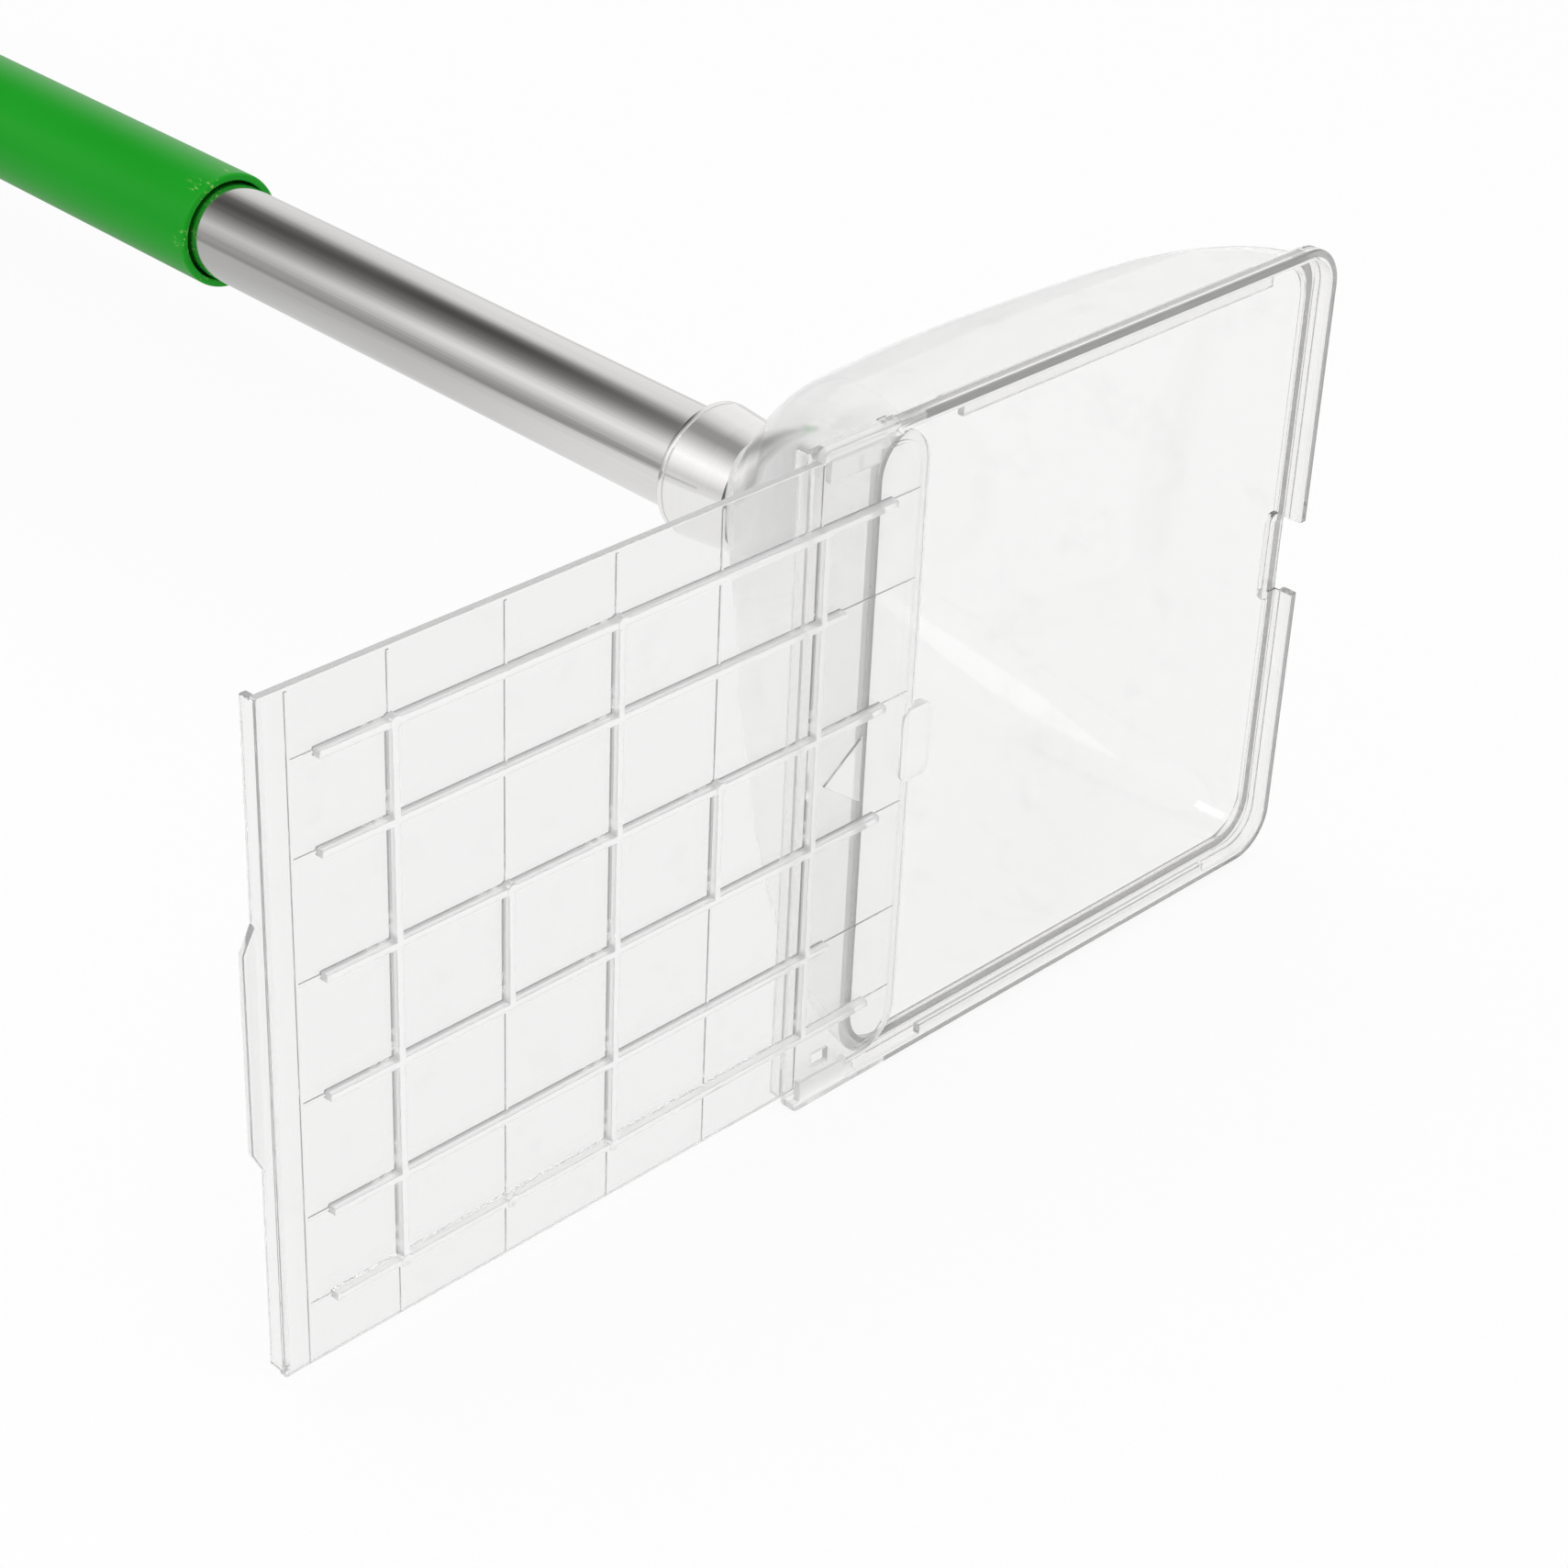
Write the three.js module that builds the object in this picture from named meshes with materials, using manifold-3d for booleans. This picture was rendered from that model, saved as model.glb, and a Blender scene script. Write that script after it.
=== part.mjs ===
// Spider catcher: a clear trap with a sliding door on a telescopic pole.
// Millimetres. X is the way the door closes, Y runs from the mouth along the pole, Z is up.
// The origin is on the underside of the door frame, below the middle of the mouth.
// Across the pole Y = 0 is the front face of the door plate.

import * as THREE from "three";
import { mergeVertices } from "three/addons/utils/BufferGeometryUtils.js";
import Module from "manifold-3d";

const wasm = await Module();
wasm.setup();

// ---- Fineness of curved surfaces
const ringSteps = 72;
const cornerSteps = 8;
const domeSteps = 18;
const arcSteps = 4;
const noseSteps = 8;
const weldGap = 0.001;

// ---- Fits
const slidingGap = 0.25;
const seatGap = 0.25;
const runningGap = 0.3;
const doorSideGap = 1.1;
const cutMargin = 4;

// ---- Sliding door
const doorLeft = -184.8;
const doorRight = -46;
const doorHalfHeight = 62.2;
const doorThickness = 1.5;
const doorRadius = 8;
const doorEndRadius = 0.6;
const flangeThickness = 1.5;
const flangeBack = 4;
const catchHalfHeight = 22.8;
const catchSlope = 4.5;
const catchReach = 2.3;
const catchThickness = 1.4;
const ribHeight = 1.85;
const ribBaseWidth = 1.7;
const ribTopWidth = 1.35;
const lineHeight = 0.28;
const lineWidth = 0.6;
const lineRoot = 0.3;
const ribColumns = 5;
const firstColumn = -161.2;
const columnSpacing = 22.44;
const ribLeft = -175.3;
const ribRightLong = -55;
const ribRightShort = -66;
const rowInner = 11;
const rowMiddle = 33;
const rowOuter = 50;
const lineLeft = -179.7;
const lineEdgeIn = 2;
const padRadius = 1.2;
const padHeight = 1.95;
const tabLeft = -49;
const tabRight = -41.5;
const tabHalfHeight = 7.3;
const tabRadius = 2.2;
const tabRise = 0.5;
const arrowTip = -68;
const arrowBase = -59;
const arrowHalfHeight = 6.6;

// ---- Door frame
const frameRight = 60.6;
const frameLeft = -73.5;
const frameWall = 2;
const frameHalfHeight = doorHalfHeight + doorSideGap + frameWall;
const frameFront = -2;
const frameOuterRadius = 9;
const frameEndRadius = 1.6;
const frameEdgeRound = 0.35;
const frameStepFront = 1;
const frameStepBack = 1.4;
const frameStepIn = 1.6;
const ledgeFront = doorThickness + slidingGap;
const ledgeThickness = 1.25;
const frameBack = ledgeFront + ledgeThickness;
const endRibDepth = 1.8;
const endRibThickness = 1.5;
const lipHalfLength = 41;
const lipReach = 2;
const lipBack = -lineHeight - slidingGap;
const clipLeft = -72;
const clipRight = -60;
const clipReach = 4.2;
const clipChamfer = 0.5;
const clipStepRight = -57.6;
const clipSlotLeft = -66;
const clipSlotRight = -62;
const clipSlotFromWall = 2.7;
const clipSlotHeight = 3.2;
const nubLeft = -56.8;
const nubRight = -54.6;
const nubReach = 0.8;

// ---- Dome
const domeSetIn = 0.2;
const domeHalfWidth = frameRight - frameStepIn - domeSetIn;
const domeHalfHeight = frameHalfHeight - frameStepIn - domeSetIn;
const domeLength = 79.5;
const curveRest = 20.2;
const domeReach = domeLength + curveRest;
const domeWall = 1.8;
const domeCornerRadius = 8.6;
const widthCurve = 1.684;
const widthTaper = 1.443;
const heightCurve = 1.948;
const heightTaper = 1.465;
const neckCornerShare = 0.52;
const sideBowShare = 0.072;
const roundFromShare = 0.55;
const tipLength = 5.5;
const collarFrontRadius = 12.4;
const collarSocketGap = 0.65;
const socketRadius = collarFrontRadius + collarSocketGap;
const socketFloor = frameBack + domeLength;
const roofThickness = 3;
const roofInner = socketFloor - roofThickness;
const roofDip = 0.1;
const roofFillet = 2.6;
const roofFilletShoulder = 0.6;
const roofShoulderShare = 0.78;
const roofInnerShare = 0.4;

// ---- Mouth and latch notch
const mouthLedge = 0.5;
const mouthHalfWidth = domeHalfWidth - domeWall - mouthLedge;
const mouthHalfHeight = domeHalfHeight - domeWall - mouthLedge;
const mouthRadius = 8;
const notchHalfHeight = tabHalfHeight + mouthLedge;
const notchRadius = 1.4;
const notchReach = 1.1;
const notchDepth = 0.5;
const tongueReach = 2.3;
const tongueHalfHeight = 9.4;
const tongueRadius = 1.8;

// ---- Pole tube and what sits in it
const tubeRadius = 11;
const tubeWall = 0.8;
const tubeLength = 277.5;
const tubeBack = socketFloor + tubeLength;
const spigotRadius = tubeRadius - tubeWall - seatGap;
const spigotWall = 1.75;
const spigotLength = 24;
const spigotChamfer = 0.8;
const gripRadius = 13.2;
const gripWall = 1.2;
const gripBore = gripRadius - gripWall;
const plugInside = 16;
const plugRadius = gripBore - runningGap;
const plugLength = 15;
const plugChamfer = 0.8;
const ringBoreGap = 0.17;
const ringSectionRadius = 0.95;
const ringSectionSteps = 8;
const ringCentreRadius = gripBore - ringBoreGap - ringSectionRadius;
const ringGrooveRadius = ringCentreRadius - ringSectionRadius - seatGap;
const ringGrooveWidth = 2.5;
const ringGrooveFront = 3;
const ringGrooveSpacing = 6;

// ---- Collar
const collarFlare = 6;
const collarFlareRadius = 13.3;
const collarCone = 8.4;
const collarLength = 16.1;
const collarBackRadius = 14.1;
const collarGrooveDepth = 0.25;
const collarGrooveWidth = 0.35;
const collarEdgeRound = 0.3;

// ---- Grip
const tubeShown = 153.8;
const gripFront = socketFloor + collarLength + tubeShown;
const gripLength = 290;
const gripMouthGap = 0.75;
const gripMouthDepth = 5;
const gripGuideDepth = 26;
const gripEdgeRound = 0.6;
const capInside = 13;
const capChamfer = 0.8;
const capSkirt = 4;
const capLength = 24;
const capEyeThickness = 9;
const capEyeFront = 8;
const capEyeRound = 5;
const capHoleHalfWidth = 3.2;
const capHoleFront = 10.5;
const capHoleBack = 19.5;
const capNoseShare = 0.5;

// ---- Colours and surfaces
const clearDome = { color: 0xeef1f2, roughness: 0.08, metalness: 0, transparent: true, opacity: 0.3 };
const clearFrame = { color: 0xe8ecee, roughness: 0.08, metalness: 0, transparent: true, opacity: 0.35 };
const clearDoor = { color: 0xe9edef, roughness: 0.1, metalness: 0, transparent: true, opacity: 0.35 };
const polishedSteel = { color: 0xd5d4d2, roughness: 0.16, metalness: 1 };
const brightSteel = { color: 0xb9b6b3, roughness: 0.24, metalness: 1 };
const greenPlastic = { color: 0x1f9c2b, roughness: 0.38, metalness: 0 };
const blackPlastic = { color: 0x1c1d1f, roughness: 0.6, metalness: 0 };
const blackRubber = { color: 0x141414, roughness: 0.85, metalness: 0 };

// ---- Geometry helpers

const quarterTurn = Math.PI / 2;
const fullTurn = 2 * Math.PI;
const mix = (from, to, share) => from + (to - from) * share;
const smooth = (share) => share * share * (3 - 2 * share);
const unitShare = (value) => Math.min(1, Math.max(0, value));

// One closed mesh with its seams welded.
function welded(geometry) {
  const bare = geometry.clone();
  bare.deleteAttribute("normal");
  bare.deleteAttribute("uv");
  return mergeVertices(bare, weldGap);
}

function toSolid(geometry) {
  const mesh = welded(geometry);
  return new wasm.Manifold(new wasm.Mesh({
    numProp: 3,
    vertProperties: mesh.attributes.position.array,
    triVerts: mesh.index.array,
  }));
}

function toGeometry(solid) {
  const mesh = solid.getMesh();
  const geometry = new THREE.BufferGeometry();
  geometry.setAttribute("position", new THREE.BufferAttribute(mesh.vertProperties, mesh.numProp));
  geometry.setIndex(new THREE.BufferAttribute(mesh.triVerts, 1));
  return shaded(geometry);
}

function shaded(geometry) {
  const flat = geometry.index ? geometry.toNonIndexed() : geometry;
  flat.computeVertexNormals();
  return flat;
}

const union = (solids) => solids.reduce((sum, solid) => sum.add(solid));
const without = (solid, cutters) => cutters.reduce((rest, cutter) => rest.subtract(cutter), solid);

// Closed outline in (x, z) with its own radius at the left and at the right corners.
function plateOutline(left, right, halfHeight, leftRadius, rightRadius) {
  const shape = new THREE.Shape();
  shape.moveTo(left + leftRadius, -halfHeight);
  shape.lineTo(right - rightRadius, -halfHeight);
  shape.absarc(right - rightRadius, -halfHeight + rightRadius, rightRadius, -quarterTurn, 0);
  shape.absarc(right - rightRadius, halfHeight - rightRadius, rightRadius, 0, quarterTurn);
  shape.absarc(left + leftRadius, halfHeight - leftRadius, leftRadius, quarterTurn, 2 * quarterTurn);
  shape.absarc(left + leftRadius, -halfHeight + leftRadius, leftRadius, 2 * quarterTurn, 3 * quarterTurn);
  return shape;
}

function polygon(points) {
  const shape = new THREE.Shape();
  points.forEach(([across, up], index) => {
    if (index === 0) shape.moveTo(across, up);
    else shape.lineTo(across, up);
  });
  return shape;
}

const rectangle = (left, right, low, high) => polygon([
  [left, low],
  [right, low],
  [right, high],
  [left, high],
]);

// Outline drawn in (x, z) and pushed along Y.
function slab(shape, front, back) {
  const options = { depth: back - front, bevelEnabled: false, curveSegments: cornerSteps };
  const geometry = new THREE.ExtrudeGeometry(shape, options);
  geometry.rotateX(quarterTurn);
  geometry.translate(0, back, 0);
  return geometry;
}

// Outline drawn in (y, z) and pushed along X.
function bar(shape, left, right) {
  const options = { depth: right - left, bevelEnabled: false, curveSegments: cornerSteps };
  const geometry = new THREE.ExtrudeGeometry(shape, options);
  const axes = new THREE.Matrix4().makeBasis(
    new THREE.Vector3(0, 1, 0),
    new THREE.Vector3(0, 0, 1),
    new THREE.Vector3(1, 0, 0),
  );
  geometry.applyMatrix4(axes);
  geometry.translate(left, 0, 0);
  return geometry;
}

// Skin over rings of equal length. Each end closes on a point, or first and last ring are joined.
function skin(rings, startPoint, endPoint) {
  const count = rings[0].length;
  const positions = rings.flat().flatMap((point) => [point.x, point.y, point.z]);
  const index = [];
  const pairs = startPoint ? rings.length - 1 : rings.length;
  for (let row = 0; row < pairs; row += 1) {
    const here = row * count;
    const next = ((row + 1) % rings.length) * count;
    for (let step = 0; step < count; step += 1) {
      const after = (step + 1) % count;
      index.push(here + step, next + step, next + after);
      index.push(here + step, next + after, here + after);
    }
  }
  if (startPoint) {
    const start = positions.length / 3;
    positions.push(startPoint.x, startPoint.y, startPoint.z);
    const end = start + 1;
    positions.push(endPoint.x, endPoint.y, endPoint.z);
    const last = (rings.length - 1) * count;
    for (let step = 0; step < count; step += 1) {
      const after = (step + 1) % count;
      index.push(start, step, after);
      index.push(end, last + after, last + step);
    }
  }
  const geometry = new THREE.BufferGeometry();
  geometry.setAttribute("position", new THREE.Float32BufferAttribute(positions, 3));
  geometry.setIndex(index);
  return geometry;
}

// Solid turned about the pole's axis from a profile of [radius, y].
function turned(profile) {
  const points = profile.map(([radius, along]) => new THREE.Vector2(radius, along));
  return welded(new THREE.LatheGeometry(points, ringSteps));
}

// Points of a quarter arc in a turned profile, around a centre, from one angle to another.
function profileArc(centreRadius, centreAlong, radius, fromAngle, toAngle) {
  return Array.from({ length: arcSteps + 1 }, (_, step) => {
    const angle = mix(fromAngle, toAngle, step / arcSteps);
    return [centreRadius + radius * Math.cos(angle), centreAlong + radius * Math.sin(angle)];
  });
}

// ---- Door frame

function frameOutline(inset) {
  const radius = frameOuterRadius - inset;
  const endRadius = frameEndRadius;
  return plateOutline(frameLeft, frameRight - inset, frameHalfHeight - inset, endRadius, radius);
}

function buildFrame() {
  const body = union([
    toSolid(slab(frameOutline(frameEdgeRound), frameFront, frameStepFront)),
    toSolid(slab(frameOutline(0), frameFront + frameEdgeRound, frameStepFront)),
    toSolid(slab(frameOutline(frameStepIn / 2), frameStepFront, frameStepBack)),
    toSolid(slab(frameOutline(frameStepIn), frameStepFront, frameBack)),
  ]);
  const pocket = plateOutline(
    frameLeft - cutMargin,
    frameRight - frameWall,
    frameHalfHeight - frameWall,
    frameEndRadius,
    frameOuterRadius - frameWall,
  );
  const mouth = plateOutline(
    -mouthHalfWidth,
    mouthHalfWidth,
    mouthHalfHeight,
    mouthRadius,
    mouthRadius,
  );
  const hollow = without(body, [
    toSolid(slab(pocket, frameFront - cutMargin, ledgeFront)),
    toSolid(slab(mouth, frameFront - cutMargin, frameBack + cutMargin)),
  ]);

  const wallInside = frameHalfHeight - frameWall;
  const wallMiddle = frameHalfHeight - frameWall / 2;
  const added = [];
  const cuts = [];
  for (const side of [-1, 1]) {
    const lip = polygon([
      [frameFront, side * (wallInside - lipReach)],
      [frameFront, side * wallMiddle],
      [lipBack, side * wallMiddle],
      [lipBack, side * (wallInside - lipReach)],
    ]);
    added.push(toSolid(bar(facing(lip), -lipHalfLength, lipHalfLength)));

    const clip = polygon([
      [frameFront, side * (wallInside - clipReach + clipChamfer)],
      [frameFront, side * wallMiddle],
      [lipBack, side * wallMiddle],
      [lipBack, side * (wallInside - clipReach)],
      [frameFront + clipChamfer, side * (wallInside - clipReach)],
    ]);
    added.push(toSolid(bar(facing(clip), clipLeft, clipRight)));

    const clipStep = polygon([
      [frameFront + clipChamfer, side * (wallInside - clipReach / 2)],
      [frameFront + clipChamfer, side * wallMiddle],
      [lipBack, side * wallMiddle],
      [lipBack, side * (wallInside - clipReach / 2)],
    ]);
    added.push(toSolid(bar(facing(clipStep), clipRight, clipStepRight)));

    const slotOuter = side * (wallInside - clipSlotFromWall);
    const slotInner = slotOuter - side * clipSlotHeight;
    const low = Math.min(slotInner, slotOuter);
    const high = Math.max(slotInner, slotOuter);
    const slot = rectangle(clipSlotLeft, clipSlotRight, low, high);
    cuts.push(toSolid(slab(slot, ledgeFront - clipChamfer, frameBack + cutMargin)));
  }

  const nub = rectangle(nubLeft, nubRight, wallInside - nubReach, wallMiddle);
  added.push(toSolid(slab(nub, frameFront + frameEdgeRound, frameBack)));

  const endRib = rectangle(
    frameLeft,
    frameLeft + endRibThickness,
    -frameHalfHeight + frameEndRadius,
    frameHalfHeight - frameEndRadius,
  );
  added.push(toSolid(slab(endRib, ledgeFront, frameBack + endRibDepth)));

  const tongue = plateOutline(
    mouthHalfWidth - tongueReach,
    frameRight - frameWall,
    tongueHalfHeight,
    tongueRadius,
    tongueRadius,
  );
  added.push(toSolid(slab(tongue, ledgeFront, frameBack)));

  const notch = plateOutline(
    mouthHalfWidth - notchReach,
    frameRight + cutMargin,
    notchHalfHeight,
    notchRadius,
    notchRadius,
  );
  cuts.push(toSolid(slab(notch, frameFront - cutMargin, ledgeFront + notchDepth)));
  return toGeometry(without(union([hollow, ...added]), cuts));
}

// The same outline with its points in anticlockwise order.
function facing(shape) {
  const points = shape.getPoints();
  if (THREE.ShapeUtils.isClockWise(points)) points.reverse();
  return new THREE.Shape(points);
}

// ---- Sliding door

const columnAt = (column) => firstColumn + column * columnSpacing;

// Rib along X on the front of the plate, narrower at its crest.
function ribAlong(left, right, height, rise, baseWidth, topWidth) {
  const section = polygon([
    [lineRoot, height - baseWidth / 2],
    [lineRoot, height + baseWidth / 2],
    [-rise, height + topWidth / 2],
    [-rise, height - topWidth / 2],
  ]);
  return toSolid(bar(facing(section), left, right));
}

// Rib along Z on the front of the plate, narrower at its crest.
function ribUp(low, high, across, rise, baseWidth, topWidth) {
  const section = polygon([
    [across - baseWidth / 2, lineRoot],
    [across + baseWidth / 2, lineRoot],
    [across + topWidth / 2, -rise],
    [across - topWidth / 2, -rise],
  ]);
  const options = { depth: high - low, bevelEnabled: false };
  const geometry = new THREE.ExtrudeGeometry(facing(section), options);
  geometry.translate(0, 0, low);
  return toSolid(geometry);
}

function buildDoor() {
  const plate = plateOutline(doorLeft, doorRight, doorHalfHeight, doorEndRadius, doorRadius);
  const flange = rectangle(
    doorLeft,
    doorLeft + flangeThickness,
    -doorHalfHeight + doorEndRadius,
    doorHalfHeight - doorEndRadius,
  );
  const fingerCatch = polygon([
    [doorLeft + flangeThickness / 2, -catchHalfHeight],
    [doorLeft + flangeThickness / 2, catchHalfHeight],
    [doorLeft, catchHalfHeight],
    [doorLeft - catchReach, catchHalfHeight - catchSlope],
    [doorLeft - catchReach, -catchHalfHeight + catchSlope],
    [doorLeft, -catchHalfHeight],
  ]);
  const tab = plateOutline(tabLeft, tabRight, tabHalfHeight, tabRadius, tabRadius);
  const arrow = polygon([
    [arrowTip, 0],
    [arrowBase, -arrowHalfHeight],
    [arrowBase, arrowHalfHeight],
  ]);
  const solids = [
    toSolid(slab(plate, 0, doorThickness)),
    toSolid(slab(flange, 0, flangeBack)),
    toSolid(slab(facing(fingerCatch), flangeBack - catchThickness, flangeBack)),
    toSolid(slab(tab, -tabRise, doorThickness)),
    toSolid(slab(facing(arrow), -lineHeight, lineRoot)),
  ];

  const rows = [
    [rowOuter, ribRightLong],
    [rowMiddle, ribRightShort],
    [rowInner, ribRightLong],
    [-rowInner, ribRightLong],
    [-rowMiddle, ribRightShort],
    [-rowOuter, ribRightLong],
  ];
  const innerEdge = doorRight - lineEdgeIn;
  for (const [height, ribRight] of rows) {
    solids.push(ribAlong(ribLeft, ribRight, height, ribHeight, ribBaseWidth, ribTopWidth));
    solids.push(ribAlong(lineLeft, innerEdge, height, lineHeight, lineWidth, lineWidth));
  }

  const lineEnd = doorHalfHeight - lineWidth;
  for (let column = 0; column < ribColumns; column += 1) {
    const across = columnAt(column);
    const reach = column % 2 === 0 ? rowOuter : rowInner;
    solids.push(ribUp(-reach, reach, across, ribHeight, ribBaseWidth, ribTopWidth));
    solids.push(ribUp(-lineEnd, lineEnd, across, lineHeight, lineWidth, lineWidth));
  }
  solids.push(ribUp(-lineEnd, lineEnd, lineLeft, lineHeight, lineWidth, lineWidth));

  const edgeOuter = plateOutline(
    doorRight - doorRadius - lineEdgeIn,
    innerEdge + lineWidth / 2,
    doorHalfHeight - lineEdgeIn + lineWidth / 2,
    doorEndRadius,
    doorRadius - lineEdgeIn + lineWidth / 2,
  );
  const edgeInner = plateOutline(
    doorRight - doorRadius - lineEdgeIn - cutMargin,
    innerEdge - lineWidth / 2,
    doorHalfHeight - lineEdgeIn - lineWidth / 2,
    doorEndRadius,
    doorRadius - lineEdgeIn - lineWidth / 2,
  );
  const edgeLine = toSolid(slab(edgeOuter, -lineHeight, lineRoot))
    .subtract(toSolid(slab(edgeInner, -lineHeight - cutMargin, lineRoot + cutMargin)));
  solids.push(edgeLine);

  const pads = [
    [0, rowOuter],
    [2, rowOuter],
    [1, rowInner],
    [3, rowInner],
    [0, -rowOuter],
    [1, -rowOuter],
    [2, -rowOuter],
  ];
  for (const [column, height] of pads) {
    const round = new THREE.Shape();
    round.absarc(columnAt(column), height, padRadius, 0, fullTurn);
    solids.push(toSolid(slab(round, -padHeight, lineRoot)));
  }
  return toGeometry(union(solids));
}

// ---- Dome

// Ring of points across the dome: a rectangle with round corners that turns into an ellipse.
function domeRing(halfWidth, halfHeight, cornerRadius, bow, roundShare, along) {
  const perSide = ringSteps / 4;
  const cornerStart = (perSide - cornerSteps) / 2;
  const sideSteps = perSide - cornerSteps;
  const ring = new Array(ringSteps);
  const corners = [[1, 1], [-1, 1], [-1, -1], [1, -1]].map(([right, up]) => [
    right * (halfWidth - cornerRadius),
    up * (halfHeight - cornerRadius),
  ]);
  const cornerPoint = (corner, step) => {
    const angle = (corner + step / cornerSteps) * quarterTurn;
    const [across, up] = corners[corner % 4];
    return [across + cornerRadius * Math.cos(angle), up + cornerRadius * Math.sin(angle)];
  };
  for (let corner = 0; corner < 4; corner += 1) {
    const base = corner * perSide + cornerStart;
    for (let step = 0; step <= cornerSteps; step += 1) ring[base + step] = cornerPoint(corner, step);
    const from = cornerPoint(corner, cornerSteps);
    const to = cornerPoint((corner + 1) % 4, 0);
    const outward = (corner + 1) * quarterTurn;
    for (let step = 1; step < sideSteps; step += 1) {
      const share = step / sideSteps;
      const rise = bow * (1 - (2 * share - 1) ** 2);
      ring[(base + cornerSteps + step) % ringSteps] = [
        mix(from[0], to[0], share) + rise * Math.cos(outward),
        mix(from[1], to[1], share) + rise * Math.sin(outward),
      ];
    }
  }
  return ring.map(([across, up], step) => {
    const angle = (step / ringSteps) * fullTurn;
    return new THREE.Vector3(
      mix(across, halfWidth * Math.cos(angle), roundShare),
      along,
      mix(up, halfHeight * Math.sin(angle), roundShare),
    );
  });
}

// Section of the dome's outside at a given distance, made smaller by an inset.
function domeSection(along, inset) {
  const share = (along - frameBack) / domeReach;
  const halfWidth = domeHalfWidth * (1 - share ** widthCurve) ** widthTaper - inset;
  const halfHeight = domeHalfHeight * (1 - share ** heightCurve) ** heightTaper - inset;
  const cornerRadius = mix(domeCornerRadius - inset, halfWidth * neckCornerShare, share);
  const bow = halfWidth * sideBowShare * smooth(share);
  const roundShare = smooth(unitShare((share - roundFromShare) / (1 - roundFromShare)));
  return domeRing(halfWidth, halfHeight, cornerRadius, bow, roundShare, along);
}

// Solid between the mouth and a flat end, from the dome's own sections.
function domeBody(inset, back, lead, closingRings) {
  const rings = [];
  if (lead > 0) {
    const ahead = new THREE.Vector3(0, -lead, 0);
    rings.push(domeSection(frameBack, inset).map((point) => point.add(ahead)));
  }
  for (let step = 0; step <= domeSteps; step += 1) {
    rings.push(domeSection(mix(frameBack, back, step / domeSteps), inset));
  }
  rings.push(...closingRings);
  const start = new THREE.Vector3(0, frameBack - lead, 0);
  const end = new THREE.Vector3(0, rings[rings.length - 1][0].y, 0);
  return toSolid(skin(rings, start, end));
}

function buildDome() {
  const roofStart = roofInner - roofFillet;
  const roofSection = domeSection(roofStart, domeWall);
  const roofRing = (share, along) => roofSection.map((point) => (
    new THREE.Vector3(point.x * share, along, point.z * share)
  ));
  const hollow = domeBody(domeWall, roofStart, cutMargin, [
    roofRing(roofShoulderShare, roofInner - roofFilletShoulder),
    roofRing(roofInnerShare, roofInner),
  ]);

  const spigotBack = socketFloor + spigotLength;
  const spigotFront = socketFloor - roofThickness / 2;
  const spigot = toSolid(turned([
    [0, spigotFront],
    [spigotRadius, spigotFront],
    [spigotRadius, spigotBack - spigotChamfer],
    [spigotRadius - spigotChamfer, spigotBack],
    [0, spigotBack],
  ]));
  const spigotCore = toSolid(turned([
    [0, socketFloor],
    [spigotRadius - spigotWall, socketFloor],
    [spigotRadius - spigotWall, spigotBack + cutMargin],
    [0, spigotBack + cutMargin],
  ]));
  const collarRecess = toSolid(turned([
    [0, socketFloor],
    [socketRadius, socketFloor],
    [socketRadius, spigotBack],
    [0, spigotBack],
  ]));
  const shell = without(domeBody(0, socketFloor + tipLength, 0, []), [collarRecess]);
  return toGeometry(without(shell.add(spigot), [spigotCore, hollow]));
}

// ---- Collar

function buildCollar() {
  const bore = tubeRadius + seatGap;
  const groove = collarBackRadius - collarGrooveDepth;
  const flareBack = socketFloor + collarFlare;
  const coneBack = flareBack + collarCone;
  const bandFront = coneBack + collarGrooveWidth;
  const collarBack = socketFloor + collarLength;
  return shaded(turned([
    [bore, socketFloor],
    [collarFrontRadius, socketFloor],
    [collarFlareRadius, flareBack],
    [collarBackRadius, coneBack],
    [groove, coneBack],
    [groove, bandFront],
    [collarBackRadius, bandFront],
    ...profileArc(
      collarBackRadius - collarEdgeRound,
      collarBack - collarEdgeRound,
      collarEdgeRound,
      0,
      quarterTurn,
    ),
    [bore, collarBack],
    [bore, socketFloor],
  ]));
}

// ---- Pole

function buildTube() {
  const bore = tubeRadius - tubeWall;
  return shaded(turned([
    [bore, socketFloor],
    [tubeRadius, socketFloor],
    [tubeRadius, tubeBack],
    [bore, tubeBack],
    [bore, socketFloor],
  ]));
}

function buildPlug() {
  const front = tubeBack - plugInside;
  const back = tubeBack + plugLength;
  const insideRadius = tubeRadius - tubeWall - seatGap;
  const profile = [
    [0, front],
    [insideRadius - plugChamfer, front],
    [insideRadius, front + plugChamfer],
    [insideRadius, tubeBack],
    [plugRadius, tubeBack],
  ];
  for (const groove of [0, 1]) {
    const grooveFront = tubeBack + ringGrooveFront + groove * ringGrooveSpacing;
    const grooveBack = grooveFront + ringGrooveWidth;
    profile.push([plugRadius, grooveFront], [ringGrooveRadius, grooveFront]);
    profile.push([ringGrooveRadius, grooveBack], [plugRadius, grooveBack]);
  }
  profile.push([plugRadius, back - plugChamfer], [plugRadius - plugChamfer, back], [0, back]);
  return shaded(turned(profile));
}

function buildFrictionRing(groove) {
  const centre = tubeBack + ringGrooveFront + groove * ringGrooveSpacing + ringGrooveWidth / 2;
  const profile = Array.from({ length: ringSectionSteps + 1 }, (_, step) => {
    const angle = ((step % ringSectionSteps) / ringSectionSteps) * fullTurn;
    return [
      ringCentreRadius + ringSectionRadius * Math.cos(angle),
      centre + ringSectionRadius * Math.sin(angle),
    ];
  });
  return shaded(turned(profile));
}

// ---- Grip

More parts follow.
